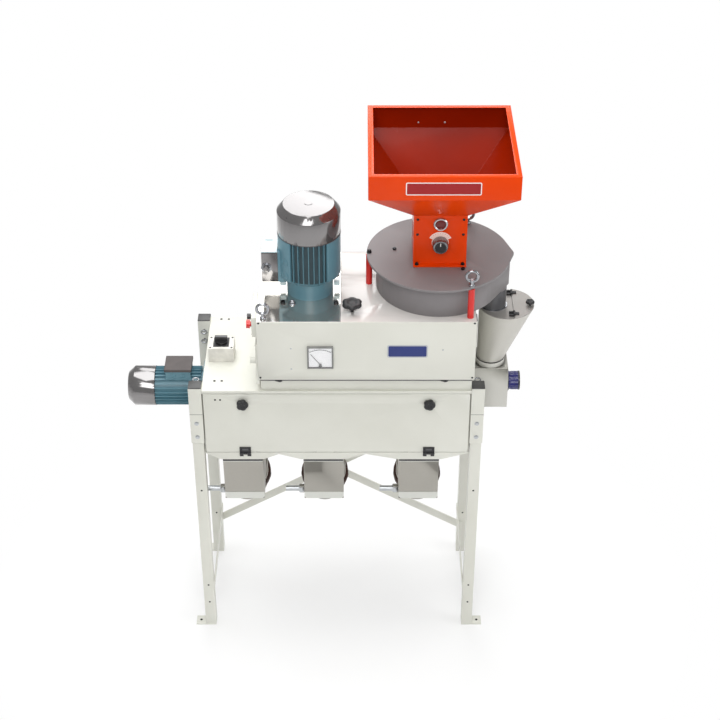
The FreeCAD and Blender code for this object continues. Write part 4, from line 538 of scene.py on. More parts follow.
def lobedKnob(name, body, node, centre, axis, radius, thick, lobes, stem):
    # the radius falls between the lobes with the cosine of the angle, deepest at mid height
    def ripple(angle, height):
        middle = np.sin(np.clip(height / thick, 0, 1) * np.pi) ** 0.5
        return 1 - (0.06 + 0.1 * middle) * (0.5 - 0.5 * np.cos(lobes * angle)) ** 2

    shape = [(0, 0), (0.55, 0), (0.62, 0.1), (0.94, 0.22), (1, 0.4), (1, 0.7), (0.93, 0.9), (0.8, 1), (0.5, 1),
             (0.44, 0.9), (0.2, 0.88), (0, 0.88)]
    stemRadius, stemLength = stem
    root = np.array(centre, float) - np.array(axis) * (stemLength - 0.5)
    parts = [lathe(np.array(shape) * (radius, thick), centre, axis, 96, ripple)]
    parts.append(disc(root, axis, stemRadius, stemLength, sides=20))
    made(name, parts, "black_plastic", body=body, replaced=(node,), smooth=50)


frontKnob = {"axis": frontFacing, "radius": 23, "thick": 21.7, "lobes": 5, "stem": (6, 18)}
knobs = {
    "doorLobeLeft": {"body": "left_latch", "node": "door_knob_left", "centre": (-357, -255.3, 1161)},
    "doorLobeRight": {"body": "right_latch", "node": "door_knob_right", "centre": (352, -255.3, 1161)},
    "baseLobeLeft": {"body": "base_screw_left", "node": "base_knob_left", "centre": (-215, -246.3, 1288)},
    "baseLobeRight": {"body": "base_screw_right", "node": "base_knob_right", "centre": (406, -246.3, 1288)},
    "tensionLobe": {"body": "tension_screw", "node": "tension_knob", "centre": (60, -238, 1590), "axis": upwards,
                    "radius": 38, "thick": 18, "lobes": 6, "stem": (6, 22)},
    "hatchLobe": {"body": "hatch", "node": "hatch_knob", "centre": (731, -58, 1484), "axis": upwards,
                  "radius": 17, "thick": 12, "stem": (4, 9)},
}
for name, facts in knobs.items():
    lobedKnob(name, **{**frontKnob, **facts})


def screws():
    # every screw of the CAD again; a washer is (outer, inner, thick) and a head (radius, height)
    facts = {
        "post": {"z": (1063, 998), "washer": (9, 3, 0.8), "head": (7, 3.4), "rearHead": (7, 4)},
        "feedBox": {"x": (296, 464), "y": (-141, 49), "z": 1708, "washer": (7.5, 3, 1.2), "head": (6, 7)},
        "motor": {"x": (-195, 1), "y": (-183, 13), "collar": (9, 4.2, 7), "plug": (5, 4)},
        "panel": {"x": (-280, 505), "z": (1321, 1563), "head": (4, 2)},
        "lid": {"places": ((217, -26), (464, -166)), "head": (7, 8)},
        "stud": {"place": (123, -46), "shape": [(0, 0), (9, 0), (9, 4), (7.4, 5), (7.4, 9.5), (5, 12), (0, 12)]},
    }
    steel, dark = [], []
    face, deck, lidTop = places["doorFace"], places["deckTop"], places["lidTop"]
    post, feed, motor, panel = facts["post"], facts["feedBox"], facts["motor"], facts["panel"]
    for x in (-places["legX"], places["legX"]):
        for z in post["z"]:
            steel += bolt((x, face, z), frontFacing, post["washer"], post["head"])
            steel.append(hexHead((x, -face, z), rearFacing, *post["rearHead"]))
    for x in feed["x"]:
        for y in feed["y"]:
            dark += bolt((x, y, feed["z"]), upwards, feed["washer"], feed["head"])
    for x in motor["x"]:
        for y in motor["y"]:
            dark.append(washer((x, y, deck), upwards, *motor["collar"]))
            dark.append(disc((x, y, deck), upwards, *motor["plug"]))
    for x in panel["x"]:
        for z in panel["z"]:
            dark.append(dome((x, places["panelFace"], z), frontFacing, *panel["head"]))
    for place in facts["lid"]["places"]:
        dark.append(hexHead((*place, lidTop), upwards, *facts["lid"]["head"]))
    dark.append(lathe(facts["stud"]["shape"], (*facts["stud"]["place"], lidTop), upwards, 32))
    made("screwHeads", steel, "zinc", replaced=("bolts",))
    made("darkScrewHeads", dark, "zinc", darkSteel)


def rivetsAndHoles():
    # rivets are (x, z) on the front panel and x on the back of the hopper; holes are (x, y) or x
    facts = {"front": ((-164, 1452), (-164, 1360), (393, 1446)), "frontSize": (3.4, 1.6),
             "hopperX": (305, 403), "hopperY": 224, "hopperZ": 2098, "hopperSize": (4.5, 2.0),
             "casing": ((-468, 235), (-438, 235), (-465, -189), (-437, -189)), "casingTop": 1217,
             "doorX": (-460, -441), "doorZ": 1176, "casingHole": (5, 0.25), "doorHole": (4, 0.25)}
    rivets = [dome((x, places["panelFace"], z), frontFacing, *facts["frontSize"]) for x, z in facts["front"]]
    rivets += [dome((x, facts["hopperY"], facts["hopperZ"]), frontFacing, *facts["hopperSize"])
               for x in facts["hopperX"]]
    made("rivets", rivets, "zinc")
    # the holes of the casing and door are dark discs, painted shade inside the holes
    top, doorHeight = facts["casingTop"], facts["doorZ"]
    made("casingHoles", [disc((x, y, top), upwards, *facts["casingHole"], sides=24) for x, y in facts["casing"]],
         "black_plastic", holeShadeAndScrewDark)
    made("doorHoles", [disc((x, places["doorFace"], doorHeight), frontFacing, *facts["doorHole"], sides=24)
                       for x in facts["doorX"]], "black_plastic", holeShadeAndScrewDark, "sifter_door")


screws()
rivetsAndHoles()


def legMarks():
    # small dark screws in the legs, the holes of the feet as dark discs of painted shade, the line where each post's
    # sleeve ends
    facts = {"front": -251.7, "rear": 208.3, "heights": (728, 223, 128), "rearHeight": 221, "screw": (4, 1.2),
             "footX": 579, "footY": (-230, 230), "footTop": 5.6, "hole": (5.4, 0.5),
             "sleeveHalf": 24.6, "sleeveFace": (-255.25, -254.6), "sleeveZ": (1105, 1106.6)}
    dark, lines = [], []
    half, (near, far), (low, high) = facts["sleeveHalf"], facts["sleeveFace"], facts["sleeveZ"]
    for sign in (-1, 1):
        x = places["legX"] * sign
        dark += [dome((x, facts["front"], z), frontFacing, *facts["screw"]) for z in facts["heights"]]
        dark.append(dome((x, facts["rear"], facts["rearHeight"]), frontFacing, *facts["screw"]))
        dark += [disc((facts["footX"] * sign, y, facts["footTop"]), upwards, *facts["hole"], sides=24)
                 for y in facts["footY"]]
        lines.append(box((x - half, near, low), (x + half, far, high)))
    made("legScrews", dark, "zinc", holeShadeAndScrewDark)
    made("sleeveLines", lines, "zinc", inkAndShadeGrey)


def shadowStripAndOutlet():
    # a dark strip of painted shadow under the mill housing, and the dark sleeve and bright ring of the meal outlet
    facts = {"shadowStrip": ((-284.6, -247, 1260), (510.6, -244, 1269)), "x": 594, "y": -46, "sleeve": (45.8, 46.6),
             "sleeveZ": (1476, 1553), "ringZ": 1473.1, "ring": (52, 46.2, 2.4)}
    (inner, outer), (low, high) = facts["sleeve"], facts["sleeveZ"]
    # painted shadow: a dark strip where the housing's overhang shades the skirt
    made("skirtShadowStrip", [box(*facts["shadowStrip"])], "black_plastic", inkAndShadeGrey)
    section = [(inner, low), (outer, low), (outer, high), (inner, high)]
    made("outletSleeve", [lathe(section, (facts["x"], facts["y"], 0), upwards, 72, closed=True)], "drum_grey",
         pipeDark)
    made("outletRing", [washer((facts["x"], facts["y"], facts["ringZ"]), upwards, *facts["ring"], 72)],
         "chrome_steel")


legMarks()
shadowStripAndOutlet()


def eyeBolts():
    # a collar, a waisted neck and a smooth ring for each lifting eye; posts are (radius, angle) about the drum
    facts = {
        "deck": (-264, -288), "posts": ((257, -64.5), (243.6, 60.5)), "ringUp": 41, "ring": (21, 5.9),
        "neck": [(0, 0), (11, 0), (11, 6.5), (9.8, 8), (7.4, 9.5), (6.4, 16), (7.6, 22.5), (7.6, 26), (0, 26)],
        "tieY": 205, "ties": ((-1, -1, 1222), (-1, 1, 1186), (1, -1, 1222), (1, 1, 1186), (-1, 1, 1143)),
        "tieRing": (11, 3), "tieBack": 17, "base": (4, 9, 0.6), "stem": (3.4, 10), "stemBack": 8,
    }
    eyes = [(*facts["deck"], places["deckTop"])]
    for radius, degrees in facts["posts"]:
        angle = math.radians(degrees)
        x, y = places["drum"]
        eyes.append((x + radius * math.cos(angle), y + radius * math.sin(angle), places["lidTop"]))
    parts = []
    for x, y, z in eyes:
        parts.append(lathe(facts["neck"], (x, y, z), upwards, 32))
        parts.append(torus((x, y, z + facts["ringUp"]), rearFacing, *facts["ring"], 56, 20))
    for side, sign, z in facts["ties"]:
        # the small tie eyes point inwards from the legs, in front and behind
        x, face, out = places["legX"] * side, facts["tieY"] * sign, (0, sign, 0)
        parts.append(disc((x, face, z), out, *facts["base"], sides=20))
        parts.append(torus((x, face - facts["tieBack"] * sign, z), upwards, *facts["tieRing"], turns=14))
        parts.append(disc((x, face - facts["stemBack"] * sign, z), out, *facts["stem"], sides=16))
    made("eyeRings", parts, "chrome_steel", replaced=("eye_bolts",))


eyeBolts()


print("stage: meter")


def needleMark(centre, angle, inner, outer, half, thick):
    # one dial mark: a thin bar along a radius of the dial, as a closed box
    along = np.array([math.cos(angle), math.sin(angle)])
    side = np.array([math.sin(angle), -math.cos(angle)]) * half
    ends = (along * inner - side, along * inner + side, along * outer + side, along * outer - side)
    x, y, z = centre
    spots = np.array([(x + a, y - depth, z + b) for depth in (0, thick) for a, b in ends])
    quads = [[0, 1, 2, 3], [7, 6, 5, 4], [0, 4, 5, 1], [1, 5, 6, 2], [2, 6, 7, 3], [3, 7, 4, 0]]
    return metres(spots), np.array(quads)


def meter():
    # dial card, scale arc, marks, a thin dark inner frame that also paints the recess's shade, and window; the needle
    # is its own piece
    facts = {"x": -57, "z": 1415, "front": -320, "half": 44, "border": 1.4, "window": 42.8, "hubDrop": 39,
             "arc": (71.8, 74.2), "sweep": (58, 122), "marks": 13, "markFrom": 73, "longMark": 5.6,
             "shortMark": 3.15, "markHalf": 0.6, "ink": 0.12, "hubCover": (6.2, 0.3, 0.1)}
    x, z, front, half = facts["x"], facts["z"], facts["front"], facts["half"]
    hub, card, inner = z - facts["hubDrop"], front + 3.4, half - facts["border"]
    made("dial", [box((x - half, card, z - half), (x + half, front + 4.0, z + half))], "dial_white", dialCard)
    scale = [arcPlate((x, card, hub), frontFacing, *facts["arc"], *facts["sweep"], facts["ink"], 48)]
    start = facts["markFrom"]
    for index, angle in enumerate(np.radians(np.linspace(*facts["sweep"], facts["marks"]))):
        end = start + (facts["longMark"] if index % 3 == 0 else facts["shortMark"])
        scale.append(needleMark((x, card, hub), angle, start, end, facts["markHalf"], facts["ink"]))
    scale.append(box((x - 5, front + 3.25, z - 26), (x + 5, card, z - 25)))
    made("dialScale", scale, "needle_black", inkAndShadeGrey)
    sides = (((-half, -half), (half, -inner)), ((-half, inner), (half, half)), ((-half, -inner), (-inner, inner)),
             ((inner, -inner), (half, inner)))
    # the dark sides are the inner frame and painted shade of the window's recess
    shadow = [box((x + a, front + 0.3, z + b), (x + c, front + 3.6, z + d)) for (a, b), (c, d) in sides]
    made("dialShadow", shadow, "dial_white", inkAndShadeGrey)
    pane = facts["window"]
    made("meterPane", [box((x - pane, front + 0.25, z - pane), (x + pane, front + 0.6, z + pane))], "dial_white",
         windowClear)
    made("meterHubCover", [disc((x, front + 1.0, hub + 1), frontFacing, *facts["hubCover"], sides=32)],
         "needle_black")


meter()


print("stage: feed box")


def feedBox():
    # everything on the feed box's front: window, scale plate, ribbed knob and cover screws
    facts = {
        "x": 380, "front": -130, "knobZ": 1795, "sightZ": 1872, "ribs": 30, "ribDepth": 0.055,
        "bezel": [(18.5, 0), (26, 0), (26, 5.2), (23.5, 7.8), (20.5, 7.8), (18.8, 6)],
        "pane": [(0, 0), (18.6, 0), (18.6, 3), (12, 4.6), (0, 5.2)],
        "scale": (31, 44, 25, 155, 0.6), "marks": (35, 145, 9), "markRadius": 37.5, "mark": (1.1, 0.15),
        "ring": (31, 24, 1.0),
        "grip": [(0, 0), (23, 0), (23, 3.4), (26.8, 3.4), (28.8, 5.2), (29, 8), (29, 18), (29, 28), (28.2, 33.5),
                 (26, 37.6), (21.5, 38.2), (20.8, 36), (0, 36)],
        "gripFace": (20, 0.6, 0.3), "coverX": (-83, 83), "coverZ": (1890, 1828), "coverHead": (5.2, 2.6),
    }
    x, front, knobZ = facts["x"], facts["front"], facts["knobZ"]
    sight, dial = (x, front, facts["sightZ"]), (x, front, knobZ)
    made("sightBezel", [lathe(facts["bezel"], sight, frontFacing, 64, closed=True)], "sight_glass",
         replaced=("sight_glass",))
    made("sightPane", [lathe(facts["pane"], sight, frontFacing)], "sight_glass", sightDark)
    made("feedScale", [arcPlate(dial, frontFacing, *facts["scale"], 48)], "hopper_red", paleEnamel)
    marks = []
    for angle in np.radians(np.linspace(*facts["marks"])):
        reach = facts["markRadius"]
        spot = (x + reach * math.cos(angle), front - 0.6, knobZ + reach * math.sin(angle))
        marks.append(disc(spot, frontFacing, *facts["mark"], sides=12))
    made("feedMarks", marks, "needle_black", finishes["signal_red"])
    made("feedRing", [washer(dial, frontFacing, *facts["ring"])], "hopper_red", paleEnamel)

    def ribs(angle, height):
        # grooves round the grip that fade out over 3 mm at both ends
        band = np.clip((height - 4) / 3, 0, 1) * np.clip((31 - height) / 3, 0, 1)
        return 1 - facts["ribDepth"] * band * (0.5 - 0.5 * np.cos(facts["ribs"] * angle)) ** 1.5

    made("feedGrip", [lathe(facts["grip"], (x, front - 0.5, knobZ), frontFacing, 180, ribs)], "knob_grey",
         body="feed_control", replaced=("feed_knob",), smooth=35)
    made("feedGripFace", [disc((x, front - 36.4, knobZ), frontFacing, *facts["gripFace"], sides=48)],
         "black_plastic", body="feed_control")
    made("feedPointer", [box((x - 1.4, front - 37.4, knobZ + 4), (x + 1.4, front - 36.9, knobZ + 18))],
         "dial_white", whiteEnamel, "feed_control")
    heads = [dome((x + dx, front, z), frontFacing, *facts["coverHead"])
             for dx in facts["coverX"] for z in facts["coverZ"]]
    made("coverScrews", heads, "zinc", darkSteel)


feedBox()


print("stage: plates")
# centre, then width, height, corner and thickness, then slot and finish
plates = {
    "hopperPlateEdge": ((376, -319, 2121), (260, 49, 5, 0.5), "dial_white", whiteEnamel),
    "hopperPlateField": ((376, -319.5, 2121), (253, 42, 3, 0.3), "button_red", plateRed),
    "frontPlateEdge": ((263, -312, 1440), (150, 56, 8, 0.9), "dial_white", finishes["zinc"]),
    "frontPlateField": ((263, -312.9, 1440), (140, 46, 5, 0.4), "inlet_blue", plateBlue),
}
for name, (centre, sizes, slot, finish) in plates.items():
    made(name, [roundPlate(centre, *sizes)], slot, finish)


print("stage: motors")


def knockOut(centre, axis, radius):
    # a stamped round: a fine raised lip, a shallow step and a flat middle
    lip, step, middle = radius * 0.93, radius * 0.86, radius * 0.5
    return lathe([(0, 0), (radius, 0), (radius, 0.9), (lip, 1.3), (step, 0.9), (radius * 0.82, 0.3), (middle, 0.3),
                  (radius * 0.46, 0.7), (0, 0.7)], centre, axis, 40)


def motorBody():
    # knock-outs on the terminal box's flank, plain flanks beside the fins and dark strips of painted shade in the
    # grooves between them
    facts = {"x": -97, "y": -85, "flankAngle": 50, "flankRadius": 115, "knockOutZ": (1672, 1728), "knockOut": 17,
             "flanks": (-88, 36), "flankSweep": 52, "flank": (104, 115.4), "flankZ": 1652, "flankTall": 164,
             "groove": (105.9, 106.7), "grooveHalf": 3.9, "grooveZ": 1653, "grooveTall": 162,
             "cowlSeam": [(115.5, 0), (116.6, 0.2), (116.6, 2.2), (115.5, 2.4)], "seamZ": 1817,
             "screwRadius": 106, "screwZ": 1914.5, "screw": (5, 2.4), "screwLean": (0.63, 0.78),
             "mark": (13, 16, -70, 70, 0.3), "markZ": 1932.7}
    x, y = facts["x"], facts["y"]
    bend = math.radians(facts["flankAngle"])
    lean = (-math.sin(bend), -math.cos(bend), 0)
    reach = facts["flankRadius"]
    rounds = [knockOut((x + reach * lean[0], y + reach * lean[1], z), lean, facts["knockOut"])
              for z in facts["knockOutZ"]]
    made("terminalKnockOuts", rounds, "motor_blue")
    flanks = [arcPlate((x, y, facts["flankZ"]), upwards, *facts["flank"], start, start + facts["flankSweep"],
                       facts["flankTall"], 24) for start in facts["flanks"]]
    made("motorFlanks", flanks, "motor_blue", edge=0.002)
    # painted shade: dark strips at the groove bottoms where the fins shade them
    half = facts["grooveHalf"]
    grooves = [arcPlate((x, y, facts["grooveZ"]), upwards, *facts["groove"], a - half, a + half,
                        facts["grooveTall"], 4) for a in range(-35, 36, 10)]
    made("finGrooveShade", grooves, "motor_blue", finShade)
    made("cowlSeam", [lathe(facts["cowlSeam"], (x, y, facts["seamZ"]), upwards, 96)], "cowl_grey", inkAndShadeGrey)
    out, up = facts["screwLean"]
    heads = []
    for angle in np.radians((45, 135, 225, 315)):
        east, north = math.cos(angle), math.sin(angle)
        spot = (x + facts["screwRadius"] * east, y + facts["screwRadius"] * north, facts["screwZ"])
        heads.append(dome(spot, (out * east, out * north, up), *facts["screw"]))
    made("cowlScrews", heads, "zinc", darkSteel)
    made("cowlMark", [arcPlate((x, y, facts["markZ"]), upwards, *facts["mark"], 24)], "cowl_grey", inkAndShadeGrey)
    # painted highlight: the ears' tops are pale for the light that falls on them
    ears = [box((x + sign * 100 - 11, y - 16, 1590), (x + sign * 100 + 11, y + 4, 1608)) for sign in (-1, 1)]
    made("motorEars", ears, "motor_blue", paleHighlight, edge=0.003)


def terminalBox():
    # lid painted pale as a highlight over a dark seam, a slot in the lid painted dark as shade, and the ring nuts of
    # the cable gland
    facts = {"lid": ((-272, -132, 1750), (-214, -38, 1755.6)), "slot": ((-262, -50, 1755.5), (-232, -45, 1755.9)),
             "seam": ((-272.2, -132.2, 1748.4), (-212, -37.8, 1749.8)), "gland": (-254, -132, 1689),
             "outerNut": (20, 13, 3), "innerNut": (16.5, 9, 2.4)}
    x, y, z = facts["gland"]
    nuts = [washer((x, y, z), frontFacing, *facts["outerNut"])]
    nuts.append(washer((x, y - facts["outerNut"][2], z), frontFacing, *facts["innerNut"]))
    made("terminalLid", [box(*facts["lid"])], "cowl_grey", paleHighlight, edge=0.0012)
    # painted shade: the lid's slot is a dark strip
    made("terminalSlotShade", [box(*facts["slot"])], "cowl_grey", inkAndShadeGrey)
    made("terminalGland", nuts, "chrome_steel")
    made("terminalLidSeam", [box(*facts["seam"])], "cowl_grey", inkAndShadeGrey)


def motorBed():
    # the bright slide plate under the motor with its seam, and a domed nut on it
    facts = {"plate": ((-286.5, -308.5, 1567.6), (17, 177.5, 1568.3)), "nut": (-160, -186),
             "seam": ((17, -309.5, 1567.6), (18.6, 178.5, 1568.2)), "plateTop": 1568.3, "domeZ": 1577,
             "head": (11, 9), "dome": (8, 7), "washer": (14, 5, 1.6)}
    place = (*facts["nut"], facts["plateTop"])
    nut = [hexHead(place, upwards, *facts["head"]), dome((*facts["nut"], facts["domeZ"]), upwards, *facts["dome"]),
           washer(place, upwards, *facts["washer"])]
    made("hexFitting", nut, "chrome_steel")
    made("slidePlate", [box(*facts["plate"])], "gloss_white", slideSteel)
    made("slideSeam", [box(*facts["seam"])], "gloss_white", inkAndShadeGrey)


def sifterMotor():
    # dark lid, knock-outs, seam ring, slots of the cowl's end and flange screws; fins and body stay the CAD's
    facts = {"height": 1060, "knockOuts": (-642, -604), "knockOutPlace": (-46, 1136), "knockOut": 13,
             "lid": ((-674.8, -50.0, 1156.6), (-568.8, 48.0, 1169.0)), "seamX": -714.9,
             "seam": [(77.5, 0), (78.4, 0.3), (78.4, 2), (77.5, 2.3)], "endX": -821.4, "slots": (20, 30, 40),
             "slotWide": 3.5, "slotSweep": 62, "flangeX": -522.7, "flangeRadius": 84, "screw": (7, 5)}
    height = facts["height"]
    made("sifterKnockOuts", [knockOut((x, *facts["knockOutPlace"]), frontFacing, facts["knockOut"])
                             for x in facts["knockOuts"]], "motor_blue")
    made("sifterLid", [box(*facts["lid"])], "cowl_grey", lidGrey, edge=0.002)
    made("sifterCowlSeam", [lathe(facts["seam"], (facts["seamX"], 0, height), leftwards, 80)], "cowl_grey",
         inkAndShadeGrey)
    # the cowl's slots are dark arcs, painted shade inside the slots
    slots = [arcPlate((facts["endX"], 0, height), leftwards, r, r + facts["slotWide"], a, a + facts["slotSweep"],
                      0.25, 20) for r in facts["slots"] for a in (14, 104, 194, 284)]
    made("sifterCowlSlots", slots, "cowl_grey", holeShadeAndScrewDark)
    heads = []
    for angle in np.radians((45, 135, 225, 315)):
        reach = facts["flangeRadius"]
        spot = (facts["flangeX"], reach * math.cos(angle), height + reach * math.sin(angle))
        heads.append(hexHead(spot, leftwards, *facts["screw"]))
    made("sifterFlangeScrews", heads, "zinc", darkSteel)


motorBody()
terminalBox()
motorBed()
sifterMotor()


print("stage: spouts")
spoutX = {"Left": -369, "Middle": -54, "Right": 320}


def bagStrap(name, x):
    # strap section: a crowned belt, thinner at its rims, carried round the leaning collar; small waves
    # in its radius follow the pull of the sack's folds
    facts = {"centre": (x, -42, 655), "tilt": 30, "inner": 84.6, "outer": 96.6, "tall": 33, "waves": 0.028,
             "rim": 1.6, "collar": (85, 62, 1.2)}
    lean = math.radians(facts["tilt"])
    axis = np.array((0, -math.sin(lean), math.cos(lean)))
    centre = np.array(facts["centre"], float)
    half, inner, outer = facts["tall"] / 2, facts["inner"], facts["outer"]

    def pull(angle, height):
        wave = 0.5 + 0.3 * np.sin(7 * angle + 0.09 * height) + 0.2 * np.sin(17 * angle - 0.14 * height)
        return 1 - facts["waves"] * wave

    section = [(inner, -half), (outer - 4, -half), (outer - 1.2, -half * 0.8), (outer, -half * 0.35),
               (outer, half * 0.35), (outer - 1.2, half * 0.8), (outer - 4, half), (inner, half)]
    made(name, [lathe(section, centre, axis, 120, pull, closed=True)], "strap_brown", smooth=60)
    rims = [torus(centre + axis * half * side, axis, outer - 4.2, facts["rim"], 120, 8) for side in (-0.78, 0.78)]
    made(name + "Rims", rims, "strap_brown")
    made(name + "Collar", [washer(centre + axis * (half + 1), axis, *facts["collar"], 72)], "spout_steel",
         whiteEnamel)


for label, x in spoutX.items():
    bagStrap("bagStrap" + label, x)
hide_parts("bag_straps")


def spoutTrim():
    # flange under the tray, the dark band and bright line below it, and the lip with cut corners; flange, line and
    # lip are painted light and the band painted shadow
    facts = {"flangeHalf": 80, "flangeY": (-234.5, -230), "flangeZ": (877.5, 888.4),
             "shadowHalf": 77.6, "shadowY": (-232.6, -229), "lineHalf": 78.4, "lineY": (-233.2, -229),
             "lineZ": (860.2, 862.4), "lip": (-218.5, 662), "lipHalf": 78, "lipRise": 28.6, "lipCut": 9,
             "lipAxis": (0, -28, 6), "lipThick": 0.8}

    def bar(x, half, y, z):
        return box((x - half, y[0], z[0]), (x + half, y[1], z[1]))

    half, rise, cut = facts["lipHalf"], facts["lipRise"], facts["lipCut"]
    outline = [(-half, rise), (-half, cut), (-half + cut, 0), (half - cut, 0), (half, cut), (half, rise)]
    shadowZ = (facts["lineZ"][1], facts["flangeZ"][0])
    flanges, shadowBands, lips = [], [], []
    for x in spoutX.values():
        flanges.append(bar(x, facts["flangeHalf"], facts["flangeY"], facts["flangeZ"]))
        # painted shadow: a dark band under the flange where the tray shades the spout
        shadowBands.append(bar(x, facts["shadowHalf"], facts["shadowY"], shadowZ))
        lips.append(bar(x, facts["lineHalf"], facts["lineY"], facts["lineZ"]))
        lips.append(extruded(outline, (x, *facts["lip"]), facts["lipAxis"], facts["lipThick"]))
    # painted light: flange, line and lip take the lighter steel for the light on their upward and forward faces
    made("spoutFlanges", flanges, "spout_steel", litSpoutSteel, edge=0.0006)
    made("spoutShadowBands", shadowBands, "spout_steel", inkAndShadeGrey)
    made("spoutLips", lips, "spout_steel", litSpoutSteel)


spoutTrim()


print("stage: inlet, hinges and switches")


def inlet():
    # square-cornered blue housing of the mains plug inlet: flange, ribbed ring, dark face, pins and rings
    facts = {
        "place": (660, -60, 1128), "ribs": 20, "ribDepth": 0.05, "ribFrom": 12, "ribTo": 46,
        "shell": [(0, 0), (40, 0), (40, 6), (38.5, 8), (34.5, 8.5), (35, 13), (36, 20), (36, 30), (36, 44),
                  (35.5, 49.5), (32.5, 50), (32, 48.5), (32, 20.5), (0, 20.5)],
        "faceIn": 22, "face": (30, 3, 0.5), "pinsIn": 25, "pinRadius": 15, "pin": (3, 13),
        "flangeRing": (43, 39, 5), "endIn": 44, "endRing": (37.2, 32, 6), "screwDrop": 50, "screw": (5, 6),
    }
    x, y, z = facts["place"]

    def ribs(angle, height):
        band = (height > facts["ribFrom"]) * (height < facts["ribTo"])
        return 1 - facts["ribDepth"] * band * (0.5 - 0.5 * np.cos(facts["ribs"] * angle))

    made("inletHousing", [lathe(facts["shell"], (x, y, z), rightwards, 120, ribs)], "inlet_blue",
         replaced=("power_inlet",))
    face = [disc((x + facts["faceIn"], y, z), rightwards, *facts["face"])]
    for angle in np.radians((90, 210, 330)):
        reach = facts["pinRadius"]
        spot = (x + facts["pinsIn"], y + reach * math.cos(angle), z + reach * math.sin(angle))
        face.append(dome(spot, rightwards, *facts["pin"]))
    made("inletFace", face, "black_plastic", finishes["button_black"])
    rings = [washer((x, y, z), rightwards, *facts["flangeRing"]),
             washer((x + facts["endIn"], y, z), rightwards, *facts["endRing"]),
             dome((x, y, z - facts["screwDrop"]), rightwards, *facts["screw"])]
    return rings


def hingeDetail():
    # grey middle strip and two small dark screws on each moving leaf of the door's hinges
    facts = {"x": 355, "half": 12, "y": (-259.6, -258.8), "z": (936, 944), "screwX": 16, "screw": (3, 1.2)}
    (near, far), (low, high) = facts["y"], facts["z"]
    strips, heads = [], []
    for x in (-facts["x"], facts["x"]):
        strips.append(box((x - facts["half"], near, low), (x + facts["half"], far, high)))
        heads += [dome((x + side * facts["screwX"], -259, (low + high) / 2), frontFacing, *facts["screw"])
                  for side in (-1, 1)]
    made("hingeStrips", strips, "black_plastic", inkAndShadeGrey, "sifter_door")
    made("hingeScrews", heads, "black_plastic", darkSteel, "sifter_door")


inletRings = inlet()
hingeDetail()
made("inletRings", inletRings, "button_black")


def hatchHinges():
    # black covers over the two hinges: ears stay with the funnel, the middle knuckle turns with the hatch
    facts = {"x": 667, "axis": 1480.8, "barrel": 4.3, "spacing": 73, "centre": -46, "knuckle": 6.1, "ear": 7.05,
             "gap": 0.05, "earX": (648, 666.1), "earZ": (1472.9, 1481.2), "leafX": (667.2, 685.4),
             "leafZ": (1476.2, 1481.2), "foot": (592, -46, 1236.2), "footRing": (52.8, 1.8)}
    x, z, ear, half = facts["x"], facts["axis"], facts["ear"], facts["knuckle"]
    (earLeft, earRight), (earLow, earHigh) = facts["earX"], facts["earZ"]
    (leafLeft, leafRight), (leafLow, leafHigh) = facts["leafX"], facts["leafZ"]
    fixed, moving = [], []
    for sign in (-1, 1):
        y = facts["centre"] + facts["spacing"] * sign
        for start in (y - half - facts["gap"] - ear, y + half + facts["gap"]):
            fixed.append(box((earLeft, start, earLow), (earRight, start + ear, earHigh)))
            fixed.append(disc((x, start, z), rearFacing, facts["barrel"], ear, 0.3, 24))
        moving.append(box((leafLeft, y - half, leafLow), (leafRight, y + half, leafHigh)))
        moving.append(disc((x, y - half, z), rearFacing, facts["barrel"], 2 * half, 0.3, 24))
    made("funnelHinges", fixed, "black_plastic", edge=0.0006)
    made("hatchHinges", moving, "black_plastic", body="hatch", edge=0.0006)
    made("funnelFootRing", [torus(facts["foot"], upwards, *facts["footRing"], 72, 10)], "black_plastic")


hatchHinges()


def switches():
    # black front plate and corner screws of the rotary switch, and the collars of the two push buttons
    facts = {"switch": (-447, -21, 1279), "plateHalf": 30.2, "plateThick": 3.2, "cornerX": (-41, 41),
             "cornerY": (-34, 34), "cornerHead": (4, 1.6), "buttonX": -310, "buttonZ": 1503,
             "collars": {-226: (19, 12, 0.7), -176: (14, 9, 0.7)}, "boxY": (-243, -87), "boxZ": (1468, 1538),
             "boxHead": (3, 1.4)}
    (x, y, top), half = facts["switch"], facts["plateHalf"]
    made("switchPlate", [box((x - half, y - half, top), (x + half, y + half, top + facts["plateThick"]))],
         "black_plastic", edge=0.0008)
    heads = [dome((x + dx, y + dy, top), upwards, *facts["cornerHead"])
             for dx in facts["cornerX"] for dy in facts["cornerY"]]
    made("switchScrews", heads, "zinc", darkSteel)
    side = facts["buttonX"]
    collars = [washer((side, along, facts["buttonZ"]), leftwards, *ring) for along, ring in facts["collars"].items()]
    made("buttonCollars", collars, "button_black")
    heads = [dome((side, along, up), leftwards, *facts["boxHead"]) for along in facts["boxY"] for up in facts["boxZ"]]
    made("stopBoxScrews", heads, "zinc", darkSteel)


switches()


print("stage: studio and camera")


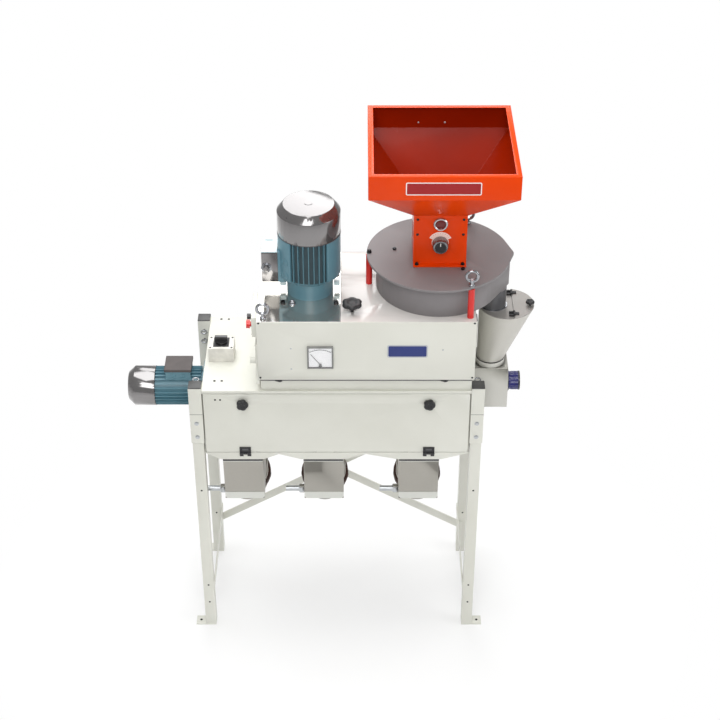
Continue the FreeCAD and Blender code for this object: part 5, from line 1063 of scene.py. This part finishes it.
def studio():
    # near the object the floor is lit and takes its shadow, further out it glows plain white
    facts = {"x": (-14, 14), "y": (-12, 16), "litWithin": 0.5, "whiteBeyond": 1.5, "nearGlow": 0.25,
             "worldLight": 0.42, "worldSeen": 1.0}
    (west, east), (south, north) = facts["x"], facts["y"]
    corners = np.array([[west, south, 0], [east, south, 0], [east, north, 0], [west, north, 0]], float)
    floor = meshOf("floor", [(corners, np.array([[0, 1, 2, 3]]))])
    card = Finish("floorWhite", Base_Color=linear(244, 244, 244), Roughness=0.9)
    spread = card.add("ShaderNodeSeparateXYZ", {}, card.place)
    across = Wire(card, spread.socket.node.outputs[0])
    deep = Wire(card, spread.socket.node.outputs[1])
    distance = card.add("ShaderNodeMath", {"operation": "SQRT"}, across * across + deep * deep)
    seen = card.add("ShaderNodeLightPath", {}, output="Is Camera Ray")
    glow = card.add("ShaderNodeEmission", {}, Color=[1, 1, 1, 1], Strength=1.0)
    far = distance.between(facts["litWithin"], facts["whiteBeyond"])
    lift = facts["nearGlow"] + (1 - facts["nearGlow"]) * far
    shown = card.add("ShaderNodeMixShader", {}, seen * lift, Wire(card, card.shader.outputs[0]), glow)
    output = card.tree.nodes["Material Output"]
    card.tree.links.new(shown.socket, output.inputs["Surface"])
    dress(floor, card.material)
    world = bpy.data.worlds.new("studio")
    world.use_nodes = True
    tree = world.node_tree
    plain = tree.nodes["Background"]
    plain.inputs["Color"].default_value = (1, 1, 1, 1)
    path = tree.nodes.new("ShaderNodeLightPath")
    level = tree.nodes.new("ShaderNodeMapRange")
    level.inputs["To Min"].default_value = facts["worldLight"]
    level.inputs["To Max"].default_value = facts["worldSeen"]
    tree.links.new(path.outputs["Is Camera Ray"], level.inputs["Value"])
    tree.links.new(level.outputs["Result"], plain.inputs["Strength"])
    bpy.context.scene.world = world


def lights():
    # square soft lamps, each aimed at a point of the object
    lamps = {
        "overhead": {"place": (-0.4, 0.4, 5.6), "aim": (0, 0, 1.2), "size": 4.2, "watts": 205},
        "front": {"place": (-0.1, -4.9, 5.2), "aim": (0, 0, 1.2), "size": 3.0, "watts": 155},
        "right": {"place": (5.2, -1.2, 3.2), "aim": (0, 0, 1.4), "size": 2.6, "watts": 60},
        "back": {"place": (-0.3, 5.0, 4.9), "aim": (0, 0, 1.8), "size": 3.0, "watts": 92},
    }
    for name, facts in lamps.items():
        lamp = bpy.data.lights.new(name, "AREA")
        lamp.energy = facts["watts"]
        lamp.size = facts["size"]
        holder = bpy.data.objects.new(name, lamp)
        holder.location = facts["place"]
        aim = Vector(facts["aim"]) - Vector(facts["place"])
        holder.rotation_euler = aim.to_track_quat("-Z", "Y").to_euler()
        bpy.context.scene.collection.objects.link(holder)


def camera():
    # the photo's own view: place in metres, tip in degrees from straight down, lens in millimetres
    facts = {"place": (0.089, -5.177, 4.828), "tip": 54.84, "lens": 80.909, "sensor": 36.0, "seesTo": 60}
    eye = bpy.data.cameras.new("camera")
    eye.lens = facts["lens"]
    eye.sensor_width = facts["sensor"]
    eye.clip_end = facts["seesTo"]
    holder = bpy.data.objects.new("camera", eye)
    holder.location = facts["place"]
    holder.rotation_euler = (math.radians(facts["tip"]), 0, 0)
    bpy.context.scene.collection.objects.link(holder)
    bpy.context.scene.camera = holder


studio()
lights()
camera()
bpy.context.scene.view_settings.view_transform = "Standard"
